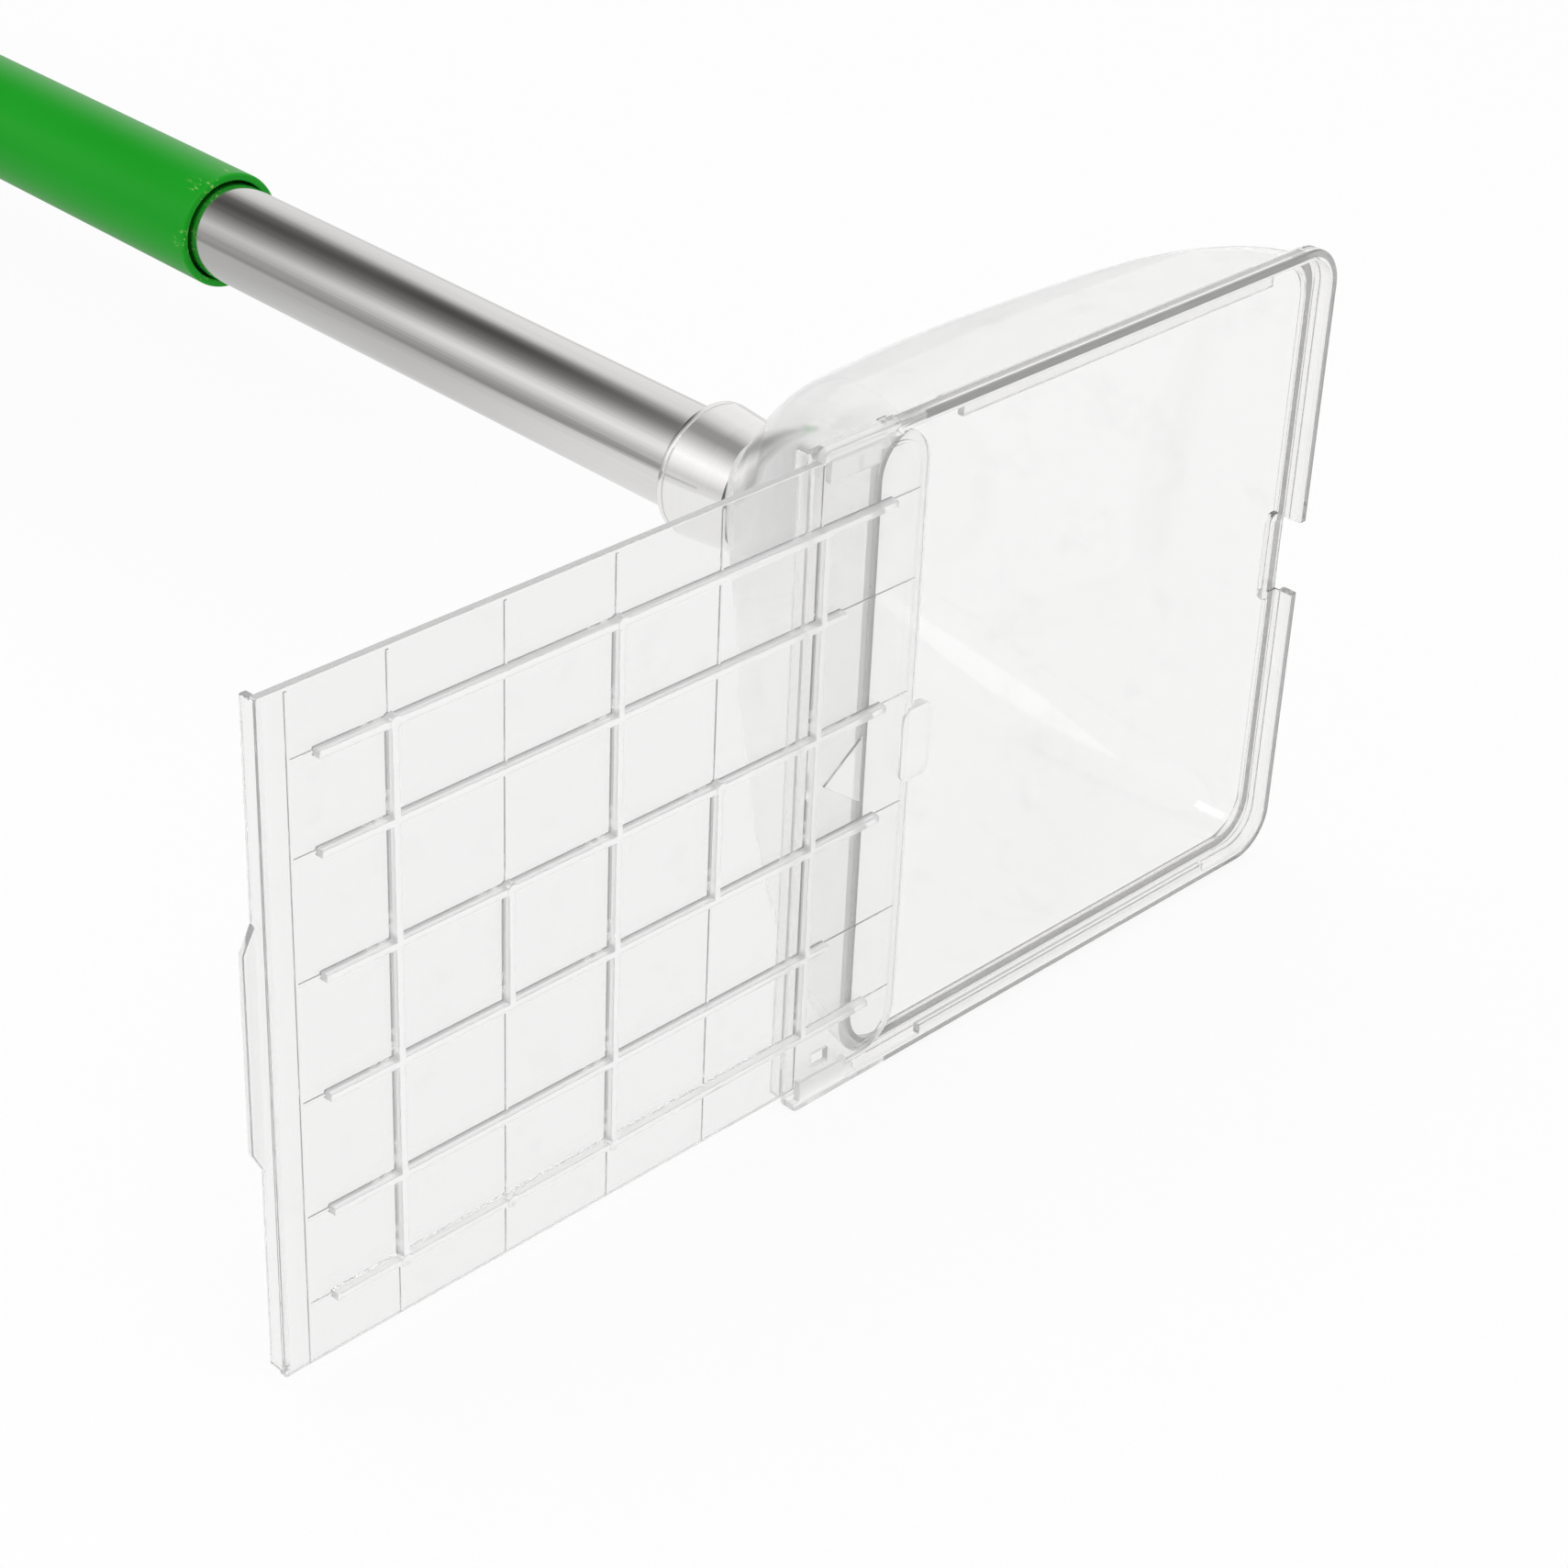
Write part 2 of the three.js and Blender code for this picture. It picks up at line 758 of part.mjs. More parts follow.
function buildGrip() {
  const back = gripFront + gripLength;
  const mouthFloor = gripFront + gripMouthDepth;
  const guideBack = gripFront + gripGuideDepth;
  const edge = gripFront + gripEdgeRound;
  const mouthRadiusInside = tubeRadius + gripMouthGap;
  const guideRadius = tubeRadius + runningGap;
  const outerRound = profileArc(gripRadius - gripEdgeRound, edge, gripEdgeRound, -quarterTurn, 0);
  return shaded(turned([
    [mouthRadiusInside, gripFront],
    ...outerRound,
    [gripRadius, back],
    [gripBore, back],
    [gripBore, guideBack],
    [guideRadius, guideBack],
    [guideRadius, mouthFloor],
    [mouthRadiusInside, mouthFloor],
    [mouthRadiusInside, gripFront],
  ]));
}

function buildCap() {
  const seat = gripFront + gripLength;
  const front = seat - capInside;
  const back = seat + capLength;
  const noseStart = seat + capSkirt;
  const noseLength = capLength - capSkirt;
  const insideRadius = gripBore - seatGap;
  const nose = Array.from({ length: noseSteps }, (_, step) => {
    const share = step / noseSteps;
    return [gripRadius * (1 - share ** 2) ** capNoseShare, noseStart + noseLength * share];
  });
  const bullet = toSolid(turned([
    [0, front],
    [insideRadius - capChamfer, front],
    [insideRadius, front + capChamfer],
    [insideRadius, seat],
    [gripRadius, seat],
    ...nose,
    [0, back],
  ]));

  const cutters = [];
  for (const side of [-1, 1]) {
    const shape = new THREE.Shape();
    const face = (side * capEyeThickness) / 2;
    const outside = side * (gripRadius + cutMargin);
    shape.moveTo(outside, seat + capEyeFront - capEyeRound / 2);
    shape.lineTo(face + side * capEyeRound, seat + capEyeFront - capEyeRound / 2);
    shape.quadraticCurveTo(
      face,
      seat + capEyeFront - capEyeRound / 2,
      face,
      seat + capEyeFront + capEyeRound / 2,
    );
    shape.lineTo(face, back + cutMargin);
    shape.lineTo(outside, back + cutMargin);
    const depth = 2 * (gripRadius + cutMargin);
    const options = { depth, bevelEnabled: false, curveSegments: cornerSteps };
    const geometry = new THREE.ExtrudeGeometry(facing(shape), options);
    geometry.translate(0, 0, -depth / 2);
    cutters.push(toSolid(geometry));
  }

  const hole = new THREE.Shape();
  const holeFront = seat + capHoleFront + capHoleHalfWidth;
  const holeBack = seat + capHoleBack - capHoleHalfWidth;
  hole.absarc(holeFront, 0, capHoleHalfWidth, quarterTurn, 3 * quarterTurn);
  hole.absarc(holeBack, 0, capHoleHalfWidth, -quarterTurn, quarterTurn);
  cutters.push(toSolid(bar(facing(hole), -capEyeThickness, capEyeThickness)));
  return toGeometry(without(bullet, cutters));
}

// ---- Assembly

function part(name, geometry, surface) {
  const mesh = new THREE.Mesh(geometry, new THREE.MeshStandardMaterial(surface));
  mesh.name = name;
  return mesh;
}

const group = new THREE.Group();
group.name = "spider_catcher";

const trap = new THREE.Group();
trap.name = "trap";
trap.position.set(0, 0, frameHalfHeight);
group.add(trap);

trap.add(part("trap_dome", buildDome(), clearDome));
trap.add(part("door_frame", buildFrame(), clearFrame));
trap.add(part("sliding_door", buildDoor(), clearDoor));
trap.add(part("neck_collar", buildCollar(), polishedSteel));
trap.add(part("pole_tube", buildTube(), brightSteel));
trap.add(part("tube_plug", buildPlug(), blackPlastic));
trap.add(part("friction_ring_front", buildFrictionRing(0), blackRubber));
trap.add(part("friction_ring_rear", buildFrictionRing(1), blackRubber));
trap.add(part("grip_sleeve", buildGrip(), greenPlastic));
trap.add(part("grip_end_cap", buildCap(), greenPlastic));

export default group;
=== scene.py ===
"""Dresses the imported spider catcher: clear trap and door, bright steel pole, green grip."""

from math import atan2, cos, pi, radians, sin, tan

import bmesh
import bpy
from mathutils import Matrix, Vector


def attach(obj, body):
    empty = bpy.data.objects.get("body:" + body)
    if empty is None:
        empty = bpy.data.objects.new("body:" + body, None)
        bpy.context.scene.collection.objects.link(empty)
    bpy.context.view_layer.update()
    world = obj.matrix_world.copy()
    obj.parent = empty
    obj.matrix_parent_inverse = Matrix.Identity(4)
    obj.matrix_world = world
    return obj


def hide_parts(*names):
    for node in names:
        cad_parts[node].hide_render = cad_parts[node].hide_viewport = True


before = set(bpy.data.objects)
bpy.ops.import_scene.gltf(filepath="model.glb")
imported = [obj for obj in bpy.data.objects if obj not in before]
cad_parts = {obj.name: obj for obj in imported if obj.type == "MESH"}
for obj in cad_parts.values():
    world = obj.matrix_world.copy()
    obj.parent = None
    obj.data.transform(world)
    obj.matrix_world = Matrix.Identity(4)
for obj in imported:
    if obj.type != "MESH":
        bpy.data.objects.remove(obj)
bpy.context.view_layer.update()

# Lengths are in millimetres up to where MM makes them metres. AXIS is the pole's height, and
# SEAT is where collar and tube begin.
MM = 0.001
AXIS = 65.3
SEAT = 82.5
TURN_STEPS = 192
SMALL_TURN_STEPS = 96
DOME_STEPS = 288
CORNER_STEPS = 12
FILLET_STEPS = 4
ROUND_SEGMENTS = 3
CREASE = 35.0
WELD = 0.002
FINE_WELD = 0.0005
SAME_DEPTH = 0.01


# Shader building

MIX_FACTOR = 0
MIX_FIRST = 6
MIX_SECOND = 7
MIX_RESULT = 2


class Wire:
    """One output of a shader node. Sums and products of wires add Math nodes."""

    def __init__(self, finish, socket):
        self.finish = finish
        self.socket = socket

    def maths(self, operation, *values):
        return self.finish.node("ShaderNodeMath", {"operation": operation}, dict(enumerate(values)))

    def __add__(self, other):
        return self.maths("ADD", self, other)

    def __sub__(self, other):
        return self.maths("SUBTRACT", self, other)

    def __rsub__(self, other):
        return self.maths("SUBTRACT", other, self)

    def __mul__(self, other):
        return self.maths("MULTIPLY", self, other)

    def __truediv__(self, other):
        return self.maths("DIVIDE", self, other)

    def above(self, edge):
        return self.maths("GREATER_THAN", self, edge)

    def below(self, edge):
        return self.maths("LESS_THAN", self, edge)

    def at_least(self, low):
        return self.maths("MAXIMUM", self, low)

    def between(self, low, high):
        """0 at low, 1 at high, eased between them."""
        settings = {"interpolation_type": "SMOOTHSTEP"}
        return self.finish.node("ShaderNodeMapRange", settings, {"Value": self, 1: low, 2: high})


class Finish:
    """A node tree and its one way of adding nodes."""

    def __init__(self, tree):
        self.tree = tree
        tree.nodes.clear()

    def node(self, kind, settings=None, values=None, output=0):
        made = self.tree.nodes.new(kind)
        for name, value in (settings or {}).items():
            if name == "stops":
                fill_ramp(made.color_ramp, value)
            else:
                setattr(made, name, value)
        for name, value in (values or {}).items():
            socket = made.inputs[name]
            if isinstance(value, Wire):
                self.tree.links.new(value.socket, socket)
            else:
                socket.default_value = value
        return Wire(self, made.outputs[output]) if len(made.outputs) else None

    def place(self):
        """Object coordinates in metres, which are the row frame's."""
        return self.node("ShaderNodeTexCoord", output="Object")

    def axes(self, vector):
        split = self.node("ShaderNodeSeparateXYZ", values={"Vector": vector})
        outputs = split.socket.node.outputs
        return [Wire(self, outputs[name]) for name in "XYZ"]

    def rays(self, *kinds):
        """The Light Path outputs of these kinds of ray, such as Camera."""
        outputs = self.node("ShaderNodeLightPath").socket.node.outputs
        return [Wire(self, outputs[f"Is {kind} Ray"]) for kind in kinds]

    def stretched(self, vector, scale):
        return self.node("ShaderNodeMapping", values={"Vector": vector, "Scale": scale})

    def noise(self, vector, scale=1.0, detail=3.0, roughness=0.5):
        values = {"Vector": vector, "Scale": scale, "Detail": detail, "Roughness": roughness}
        return self.node("ShaderNodeTexNoise", values=values)

    def ramp(self, factor, stops):
        return self.node("ShaderNodeValToRGB", {"stops": stops}, {"Fac": factor})

    def colours(self, factor, first, second):
        values = {MIX_FACTOR: factor, MIX_FIRST: first, MIX_SECOND: second}
        return self.node("ShaderNodeMix", {"data_type": "RGBA"}, values, output=MIX_RESULT)

    def bump(self, height, strength, distance):
        values = {"Height": height, "Strength": strength, "Distance": distance}
        return self.node("ShaderNodeBump", values=values)

    def principled(self, values):
        return self.node("ShaderNodeBsdfPrincipled", values=values)

    def blend(self, factor, first, second):
        """One shader where the factor is 0, the other where it is 1."""
        return self.node("ShaderNodeMixShader", values={0: factor, 1: first, 2: second})

    def surface(self, shader):
        self.node("ShaderNodeOutputMaterial", values={"Surface": shader})


def fill_ramp(ramp, stops):
    """Gives a colour ramp its (place, colour) stops."""
    for place, shade in stops[1:-1]:
        ramp.elements.new(place).color = shade
    ends = (ramp.elements[0], ramp.elements[-1])
    for element, (place, shade) in zip(ends, (stops[0], stops[-1])):
        element.position = place
        element.color = shade


def new_material(name):
    material = bpy.data.materials.new(name)
    material.use_nodes = True
    return material, Finish(material.node_tree)


def colour(red, green, blue):
    return (red, green, blue, 1.0)


def grey(value):
    return colour(value, value, value)


# Finishes

CLEAR_IOR = 1.49
RAISED_FROM = -0.4
FRAME_CORE = (51.6, 56.6)
FRAME_RIM_FROM = 7.35
FRAME_RIM_BACK = -1.4
FRAME_RIM_LEFT = -50.0
MOUTH_CORE = (48.5, 53.2)
MOUTH_BAND_FROM = 7.9
MOUTH_BAND_TO = 9.1
MOUTH_BAND_DEPTH = 1.5
MOUTH_BAND_FADE = (-40, -52)
STRIP_RIGHT = -57.0
DOOR_CORE = (-54.0, 54.2)
DOOR_BORDER_FROM = 6.4
NECK_THICK = (68, 80)
HAZE_ROUGHNESS = 0.05
HAZE_MILK = 0.03
HAZE_GREY = 0.35
EDGE_PAINTED_SHADE = 0.93
MOUTH_BAND_SHADE_SHARE = 0.9
STRIP_MILK = 0.1
RIM_MILK = 0.22
BORDER_MILK = 0.12
NECK_ROUGHNESS = 0.28
NECK_MILK = 0.3
BURR_BACK = 260.0
BURR_FRONT = 253.5


def clear_plastic(name, tint, cloud, relief=0.0, neck=False, rim=0.0, gloss=0.012, edge=False):
    """Crystal clear moulding: faint flow waves, a trace of dust, and milkier raised parts. Where edge is
    set, painted shade darkens the frame's front rim and the mouth's left edge.
    """
    material, finish = new_material(name)
    place = finish.place()
    across, along, up = finish.axes(place)
    height = up - AXIS * MM
    level = height.maths("ABSOLUTE", height)

    def beyond(side, core):
        """Square of the distance outside a rectangle, which rounds its corners."""
        half_width, half_height = core
        past_side = (side - half_width * MM).at_least(0.0)
        past_level = (level - half_height * MM).at_least(0.0)
        return past_side * past_side + past_level * past_level

    flow = finish.noise(finish.stretched(place, (14, 14, 26)), detail=2.0)
    haze = finish.noise(place, scale=95.0, detail=4.0, roughness=0.6).between(0.5, 0.78)
    rough = haze * HAZE_ROUGHNESS + gloss
    milk = haze * HAZE_MILK + cloud
    if relief > 0:
        milk = milk + along.below(RAISED_FROM * MM) * relief
    tone = finish.colours(haze * HAZE_GREY, tint, grey(0.9))
    # Painted shade: a near-black tint on the frame's front rim and on a band round the mouth's left edge,
    # standing in for the dark that refraction shows at the plastic's edges.
    if edge:
        outer = beyond(across, FRAME_CORE).above((FRAME_RIM_FROM * MM) ** 2)
        front = outer * along.below(FRAME_RIM_BACK * MM) * across.above(FRAME_RIM_LEFT * MM)
        mouth = beyond(across * -1, MOUTH_CORE)
        band = mouth.above((MOUTH_BAND_FROM * MM) ** 2) * mouth.below((MOUTH_BAND_TO * MM) ** 2)
        left_side = band * along.above(MOUTH_BAND_DEPTH * MM)
        fade = across.between(*(limit * MM for limit in MOUTH_BAND_FADE))
        dark = front + left_side * fade * MOUTH_BAND_SHADE_SHARE
        tone = finish.colours(dark * EDGE_PAINTED_SHADE, tone, colour(0.052, 0.05, 0.046))
        milk = milk + across.below(STRIP_RIGHT * MM) * STRIP_MILK
    if rim > 0:
        outer = beyond(across, DOOR_CORE).above((DOOR_BORDER_FROM * MM) ** 2)
        border = outer * across.above(STRIP_RIGHT * MM)
        milk = milk + level.above(rim * MM) * RIM_MILK + border * BORDER_MILK
    if neck:
        thick = along.between(*(limit * MM for limit in NECK_THICK))
        rough = rough + thick * NECK_ROUGHNESS
        milk = milk + thick * NECK_MILK
    shader = finish.principled(
        {
            "Base Color": tone,
            "Roughness": rough,
            "IOR": CLEAR_IOR,
            "Transmission Weight": 1.0,
            "Specular IOR Level": 0.5,
            "Normal": finish.bump(flow, strength=0.05, distance=MM),
        }
    )
    white = {"Color": colour(0.95, 0.95, 0.948)}
    outward = finish.node("ShaderNodeBsdfDiffuse", values=white)
    from_inside = finish.node("ShaderNodeBsdfTranslucent", values=white)
    inside = finish.node("ShaderNodeNewGeometry", output="Backfacing")
    body = finish.blend(milk, shader, finish.blend(inside, outward, from_inside))
    (shadow,) = finish.rays("Shadow")
    through = finish.node("ShaderNodeBsdfTransparent", values={"Color": grey(0.95)})
    finish.surface(finish.blend(shadow, body, through))
    return material


def drawn_steel():
    """Bright drawn tube: fine lines along it, faint rubbing marks."""
    material, finish = new_material("drawn_steel")
    place = finish.place()
    lines = finish.noise(finish.stretched(place, (2600, 9, 2600)), detail=4.0, roughness=0.6)
    rub = finish.noise(finish.stretched(place, (60, 22, 60))).between(0.45, 0.75)
    shader = finish.principled(
        {
            "Base Color": finish.colours(lines, colour(0.66, 0.65, 0.64), colour(0.76, 0.75, 0.745)),
            "Metallic": 1.0,
            "Roughness": lines * 0.04 + rub * 0.04 + 0.07,
            "Normal": finish.bump(lines, strength=0.05, distance=0.2 * MM),
        }
    )
    finish.surface(shader)
    return material


def polished_collar():
    """Turned and polished ring: very fine rings round it, and painted shade on its front face."""
    material, finish = new_material("polished_collar")
    place = finish.place()
    rings = finish.noise(finish.stretched(place, (6, 2400, 6)), roughness=0.6)
    smear = finish.noise(place, scale=140.0).between(0.45, 0.8)
    _, along, _ = finish.axes(place)
    metal = finish.colours(rings, colour(0.8, 0.795, 0.785), colour(0.86, 0.855, 0.85))
    # Painted shade: the front face gets a dark base colour for the shaded gap between collar and dome.
    front = along.below((SEAT + 0.2) * MM)
    shader = finish.principled(
        {
            "Base Color": finish.colours(front, metal, colour(0.2, 0.195, 0.19)),
            "Metallic": 1.0,
            "Roughness": rings * 0.04 + smear * 0.05 + 0.07,
            "Normal": finish.bump(rings, strength=0.04, distance=0.2 * MM),
        }
    )
    finish.surface(shader)
    return material


def green_grip():
    """Moulded green sleeve: fine grain, soft mottling, pale burrs at the mouth's edge."""
    material, finish = new_material("green_grip")
    place = finish.place()
    _, along, _ = finish.axes(place)
    grain = finish.noise(place, scale=2600.0, roughness=0.6)
    mottle = finish.noise(finish.stretched(place, (70, 18, 70)))
    specks = finish.noise(finish.stretched(place, (900, 260, 900)), detail=4.0, roughness=0.7)
    burr = specks.between(0.56, 0.62)
    near_edge = along.between(BURR_BACK * MM, BURR_FRONT * MM)
    patches = finish.noise(place, scale=90.0, detail=1.0).between(0.5, 0.6)
    marks = burr * near_edge * patches
    green = finish.colours(mottle, colour(0.0012, 0.285, 0.007), colour(0.002, 0.33, 0.009))
    shader = finish.principled(
        {
            "Base Color": finish.colours(marks * 0.7, green, colour(0.42, 0.66, 0.2)),
            "Roughness": mottle * 0.08 + marks * 0.2 + 0.3,
            "IOR": 1.5,
            "Specular IOR Level": 0.18,
            "Normal": finish.bump(grain + marks * 3.0, strength=0.12, distance=0.1 * MM),
        }
    )
    finish.surface(shader)
    return material


def dark_moulding(name, base, rough, grain_size, grain_depth):
    """Black plastic or rubber with a fine grain and dusty highs."""
    material, finish = new_material(name)
    place = finish.place()
    grain = finish.noise(place, scale=grain_size, detail=4.0, roughness=0.6)
    dust = finish.noise(place, scale=60.0).between(0.5, 0.8)
    shader = finish.principled(
        {
            "Base Color": finish.colours(dust * 0.4, base, colour(0.07, 0.07, 0.068)),
            "Roughness": grain * 0.12 + rough,
            "Normal": finish.bump(grain, strength=grain_depth, distance=0.1 * MM),
        }
    )
    finish.surface(shader)
    return material


# Modelling


def finish_piece(bm, name, body, material):
    """Makes the mesh an object that rides on a body and has one material slot."""
    mesh = bpy.data.meshes.new(name)
    bm.to_mesh(mesh)
    bm.free()
    mesh.polygons.foreach_set("use_smooth", [True] * len(mesh.polygons))
    mesh.set_sharp_from_angle(angle=radians(CREASE))
    mesh.materials.append(material)
    piece = bpy.data.objects.new(name, mesh)
    bpy.context.scene.collection.objects.link(piece)
    weighted = piece.modifiers.new("even_normals", "WEIGHTED_NORMAL")
    weighted.keep_sharp = True
    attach(piece, body)
    return piece


def rounded_profile(corners):
    """Points of a turned profile. Each corner is (radius, along) or (radius, along, fillet)."""
    count = len(corners)
    points = []
    for index, corner in enumerate(corners):
        here = Vector(corner[:2])
        fillet = corner[2] if len(corner) > 2 else 0.0
        if fillet <= 0 or index in (0, count - 1):
            points.append(here)
            continue
        before = (Vector(corners[index - 1][:2]) - here).normalized()
        after = (Vector(corners[index + 1][:2]) - here).normalized()
        half = before.angle(after) / 2
        reach = fillet / tan(half)
        centre = here + (before + after).normalized() * (fillet / sin(half))
        start = here + before * reach - centre
        end = here + after * reach - centre
        swing = atan2(start.x * end.y - start.y * end.x, start.dot(end))
        for step in range(FILLET_STEPS + 1):
            points.append(centre + Matrix.Rotation(swing * step / FILLET_STEPS, 2) @ start)
    return points


def spun(bm, chain, steps):
    """Spins a chain of points once round the pole's axis."""
    edges = [bm.edges.new(pair) for pair in zip(chain, chain[1:])]
    bmesh.ops.spin(
        bm,
        geom=chain + edges,
        cent=(0, 0, AXIS * MM),
        axis=(0, 1, 0),
        angle=2 * pi,
        steps=steps,
        use_merge=True,
    )


def welded(bm):
    """Joins points that meet on the axis and turns all faces outward."""
    bmesh.ops.remove_doubles(bm, verts=bm.verts, dist=WELD * MM)
    bmesh.ops.recalc_face_normals(bm, faces=bm.faces)
    return bm


def turned(profile, steps=TURN_STEPS):
    """A solid turned from a profile of (radius, along)."""
    bm = bmesh.new()
    chain = [bm.verts.new((radius * MM, along * MM, AXIS * MM)) for radius, along in profile]
    spun(bm, chain, steps)
    return welded(bm)


def mix(first, second, share):
    return first + (second - first) * share


def eased(share):
    share = min(1.0, max(0.0, share))
    return share * share * (3 - 2 * share)


# Dome

DOME_FRONT = 3.0
DOME_REACH = 99.7
DOME_HALF_WIDTH = 58.8
DOME_HALF_HEIGHT = 63.5
DOME_WALL = 1.8
DOME_CORNER = 8.6
WIDTH_CURVE = 1.684
WIDTH_TAPER = 1.443
HEIGHT_CURVE = 1.948
HEIGHT_TAPER = 1.465
NECK_CORNER_SHARE = 0.52
SIDE_BOW_SHARE = 0.072
ROUND_FROM_SHARE = 0.55
ROUND_OVER_SHARE = 0.45
CORNER_FAN = radians(20)
FRAME_CLEARANCE = 0.04
DOME_CUT = 88.0
OUTSIDE_ROWS = 80
INSIDE_ROWS = 64
ROOF_EDGE = 76.9
ROOF_ROWS = ((77.6, 0.965), (78.2, 0.9), (78.75, 0.79), (79.2, 0.62), (79.45, 0.4), (79.5, 0.15))
SPIN_RADIUS = 30.0
HOLLOW_FRONT = -1.0
SPIGOT_FRONT = 81.0
SPIGOT_BACK = 106.5
BORE_BACK = 110.0
SOCKET_RADIUS = 13.05
SPIGOT_RADIUS = 9.95
SPIGOT_CHAMFER = 0.8
SPIGOT_BORE = 8.2


def section_point(around, along, inset):
    """A point on the dome's section: a round-cornered rectangle that turns into an ellipse."""
    share = (along - DOME_FRONT) / DOME_REACH
    half_width = DOME_HALF_WIDTH * (1 - share**WIDTH_CURVE) ** WIDTH_TAPER - inset
    half_height = DOME_HALF_HEIGHT * (1 - share**HEIGHT_CURVE) ** HEIGHT_TAPER - inset
    corner = mix(DOME_CORNER - inset, half_width * NECK_CORNER_SHARE, share)
    bow = half_width * SIDE_BOW_SHARE * eased(share)
    roundness = eased((share - ROUND_FROM_SHARE) / ROUND_OVER_SHARE)
    quarter = int(around // (pi / 2))
    turn = around - quarter * pi / 2 - pi / 4

    def corner_point(which, swing):
        right = 1 if which % 4 in (0, 3) else -1
        up = 1 if which % 4 in (0, 1) else -1
        angle = which * pi / 2 + pi / 4 + swing
        return Vector(
            (
                right * (half_width - corner) + corner * cos(angle),
                up * (half_height - corner) + corner * sin(angle),
            )
        )

    if abs(turn) <= CORNER_FAN:
        point = corner_point(quarter, turn / CORNER_FAN * pi / 4)
    else:
        later = turn > 0
        from_corner, to_corner = (quarter, quarter + 1) if later else (quarter - 1, quarter)
        travelled = (turn - CORNER_FAN) if later else (turn + pi / 2 - CORNER_FAN)
        step = travelled / (pi / 2 - 2 * CORNER_FAN)
        point = corner_point(from_corner, pi / 4).lerp(corner_point(to_corner, -pi / 4), step)
        outward = to_corner * pi / 2
        point += bow * (1 - (2 * step - 1) ** 2) * Vector((cos(outward), sin(outward)))
    return point.lerp(Vector((half_width * cos(around), half_height * sin(around))), roundness)


def dome_body(rows):
    """A closed solid of dome sections. Each row is (along, section's place, inset, size)."""
    places = [(rows[0][0], None)] + [(row[0], row) for row in rows] + [(rows[-1][0], None)]
    bm = bmesh.new()
    tag = bm.verts.layers.int.new("row")
    chain = []
    for index, (along, row) in enumerate(places):
        vert = bm.verts.new(((0.0 if row is None else SPIN_RADIUS) * MM, along * MM, AXIS * MM))
        vert[tag] = index
        chain.append(vert)
    spun(bm, chain, DOME_STEPS)
    for vert in bm.verts:
        row = places[vert[tag]][1]
        if row is not None:
            along, place, inset, size = row
            around = atan2(vert.co.z - AXIS * MM, vert.co.x) % (2 * pi)
            point = section_point(around, place, inset) * size
            vert.co = Vector((point.x * MM, along * MM, (AXIS + point.y) * MM))
    return welded(bm)


def build_dome(material):
    """The clear shell, hollow from its mouth to its roof, and the spigot behind it."""
    front = DOME_FRONT + FRAME_CLEARANCE
    outside = [mix(front, DOME_CUT, step / OUTSIDE_ROWS) for step in range(OUTSIDE_ROWS + 1)]
    shell = dome_body([(along, along, 0.0, 1.0) for along in outside])
    hollow = [mix(DOME_FRONT, ROOF_EDGE, step / INSIDE_ROWS) for step in range(INSIDE_ROWS + 1)]
    inside = [(HOLLOW_FRONT, DOME_FRONT, DOME_WALL, 1.0)]
    inside += [(along, along, DOME_WALL, 1.0) for along in hollow]
    inside += [(along, ROOF_EDGE, DOME_WALL, size) for along, size in ROOF_ROWS]
    socket = [(0, SEAT), (SOCKET_RADIUS, SEAT), (SOCKET_RADIUS, SPIGOT_BACK), (0, SPIGOT_BACK)]
    spigot = [
        (0, SPIGOT_FRONT),
        (SPIGOT_RADIUS, SPIGOT_FRONT),
        (SPIGOT_RADIUS, SPIGOT_BACK - SPIGOT_CHAMFER),
        (SPIGOT_RADIUS - SPIGOT_CHAMFER, SPIGOT_BACK),
        (0, SPIGOT_BACK),
    ]
    bore = [(0, SEAT), (SPIGOT_BORE, SEAT), (SPIGOT_BORE, BORE_BACK), (0, BORE_BACK)]
    shell = combined(shell, [turned(socket)], "DIFFERENCE")
    shell = combined(shell, [turned(spigot)], "UNION")
    shell = combined(shell, [turned(bore), dome_body(inside)], "DIFFERENCE")
    piece = finish_piece(shell, "clear_dome", "trap", material)
    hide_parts("trap_dome")


# Moulded shapes


def spot(across, along, up):
    """A place given in millimetres about the pole's axis."""
    return Vector((across * MM, along * MM, (AXIS + up) * MM))


def arc(centre, radius, start, end, steps):
    """Points of an arc about a centre, its angles in quarter turns."""
    angles = [mix(start, end, step / steps) * pi / 2 for step in range(steps + 1)]
    return [(centre[0] + radius * cos(turn), centre[1] + radius * sin(turn)) for turn in angles]


def plate_outline(left, right, half_height, left_radius, right_radius):
    """A rectangle with round corners, in (across, up)."""
    low_right = (right - right_radius, right_radius - half_height)
    high_right = (right - right_radius, half_height - right_radius)
    high_left = (left + left_radius, half_height - left_radius)
    low_left = (left + left_radius, left_radius - half_height)
    points = arc(low_right, right_radius, -1, 0, CORNER_STEPS)
    points += arc(high_right, right_radius, 0, 1, CORNER_STEPS)
    points += arc(high_left, left_radius, 1, 2, CORNER_STEPS)
    points += arc(low_left, left_radius, 2, 3, CORNER_STEPS)
    return points


def box_outline(left, right, low, high):
    return [(left, low), (right, low), (right, high), (left, high)]


def pushed(face_points, push):
    """A closed solid: a face of places pushed along a vector of millimetres."""
    bm = bmesh.new()
    face = bm.faces.new([bm.verts.new(point) for point in face_points])
    raised = bmesh.ops.extrude_face_region(bm, geom=[face])["geom"]
    moved = [item for item in raised if isinstance(item, bmesh.types.BMVert)]
    bmesh.ops.translate(bm, verts=moved, vec=Vector(push) * MM)
    bmesh.ops.recalc_face_normals(bm, faces=bm.faces)
    return bm


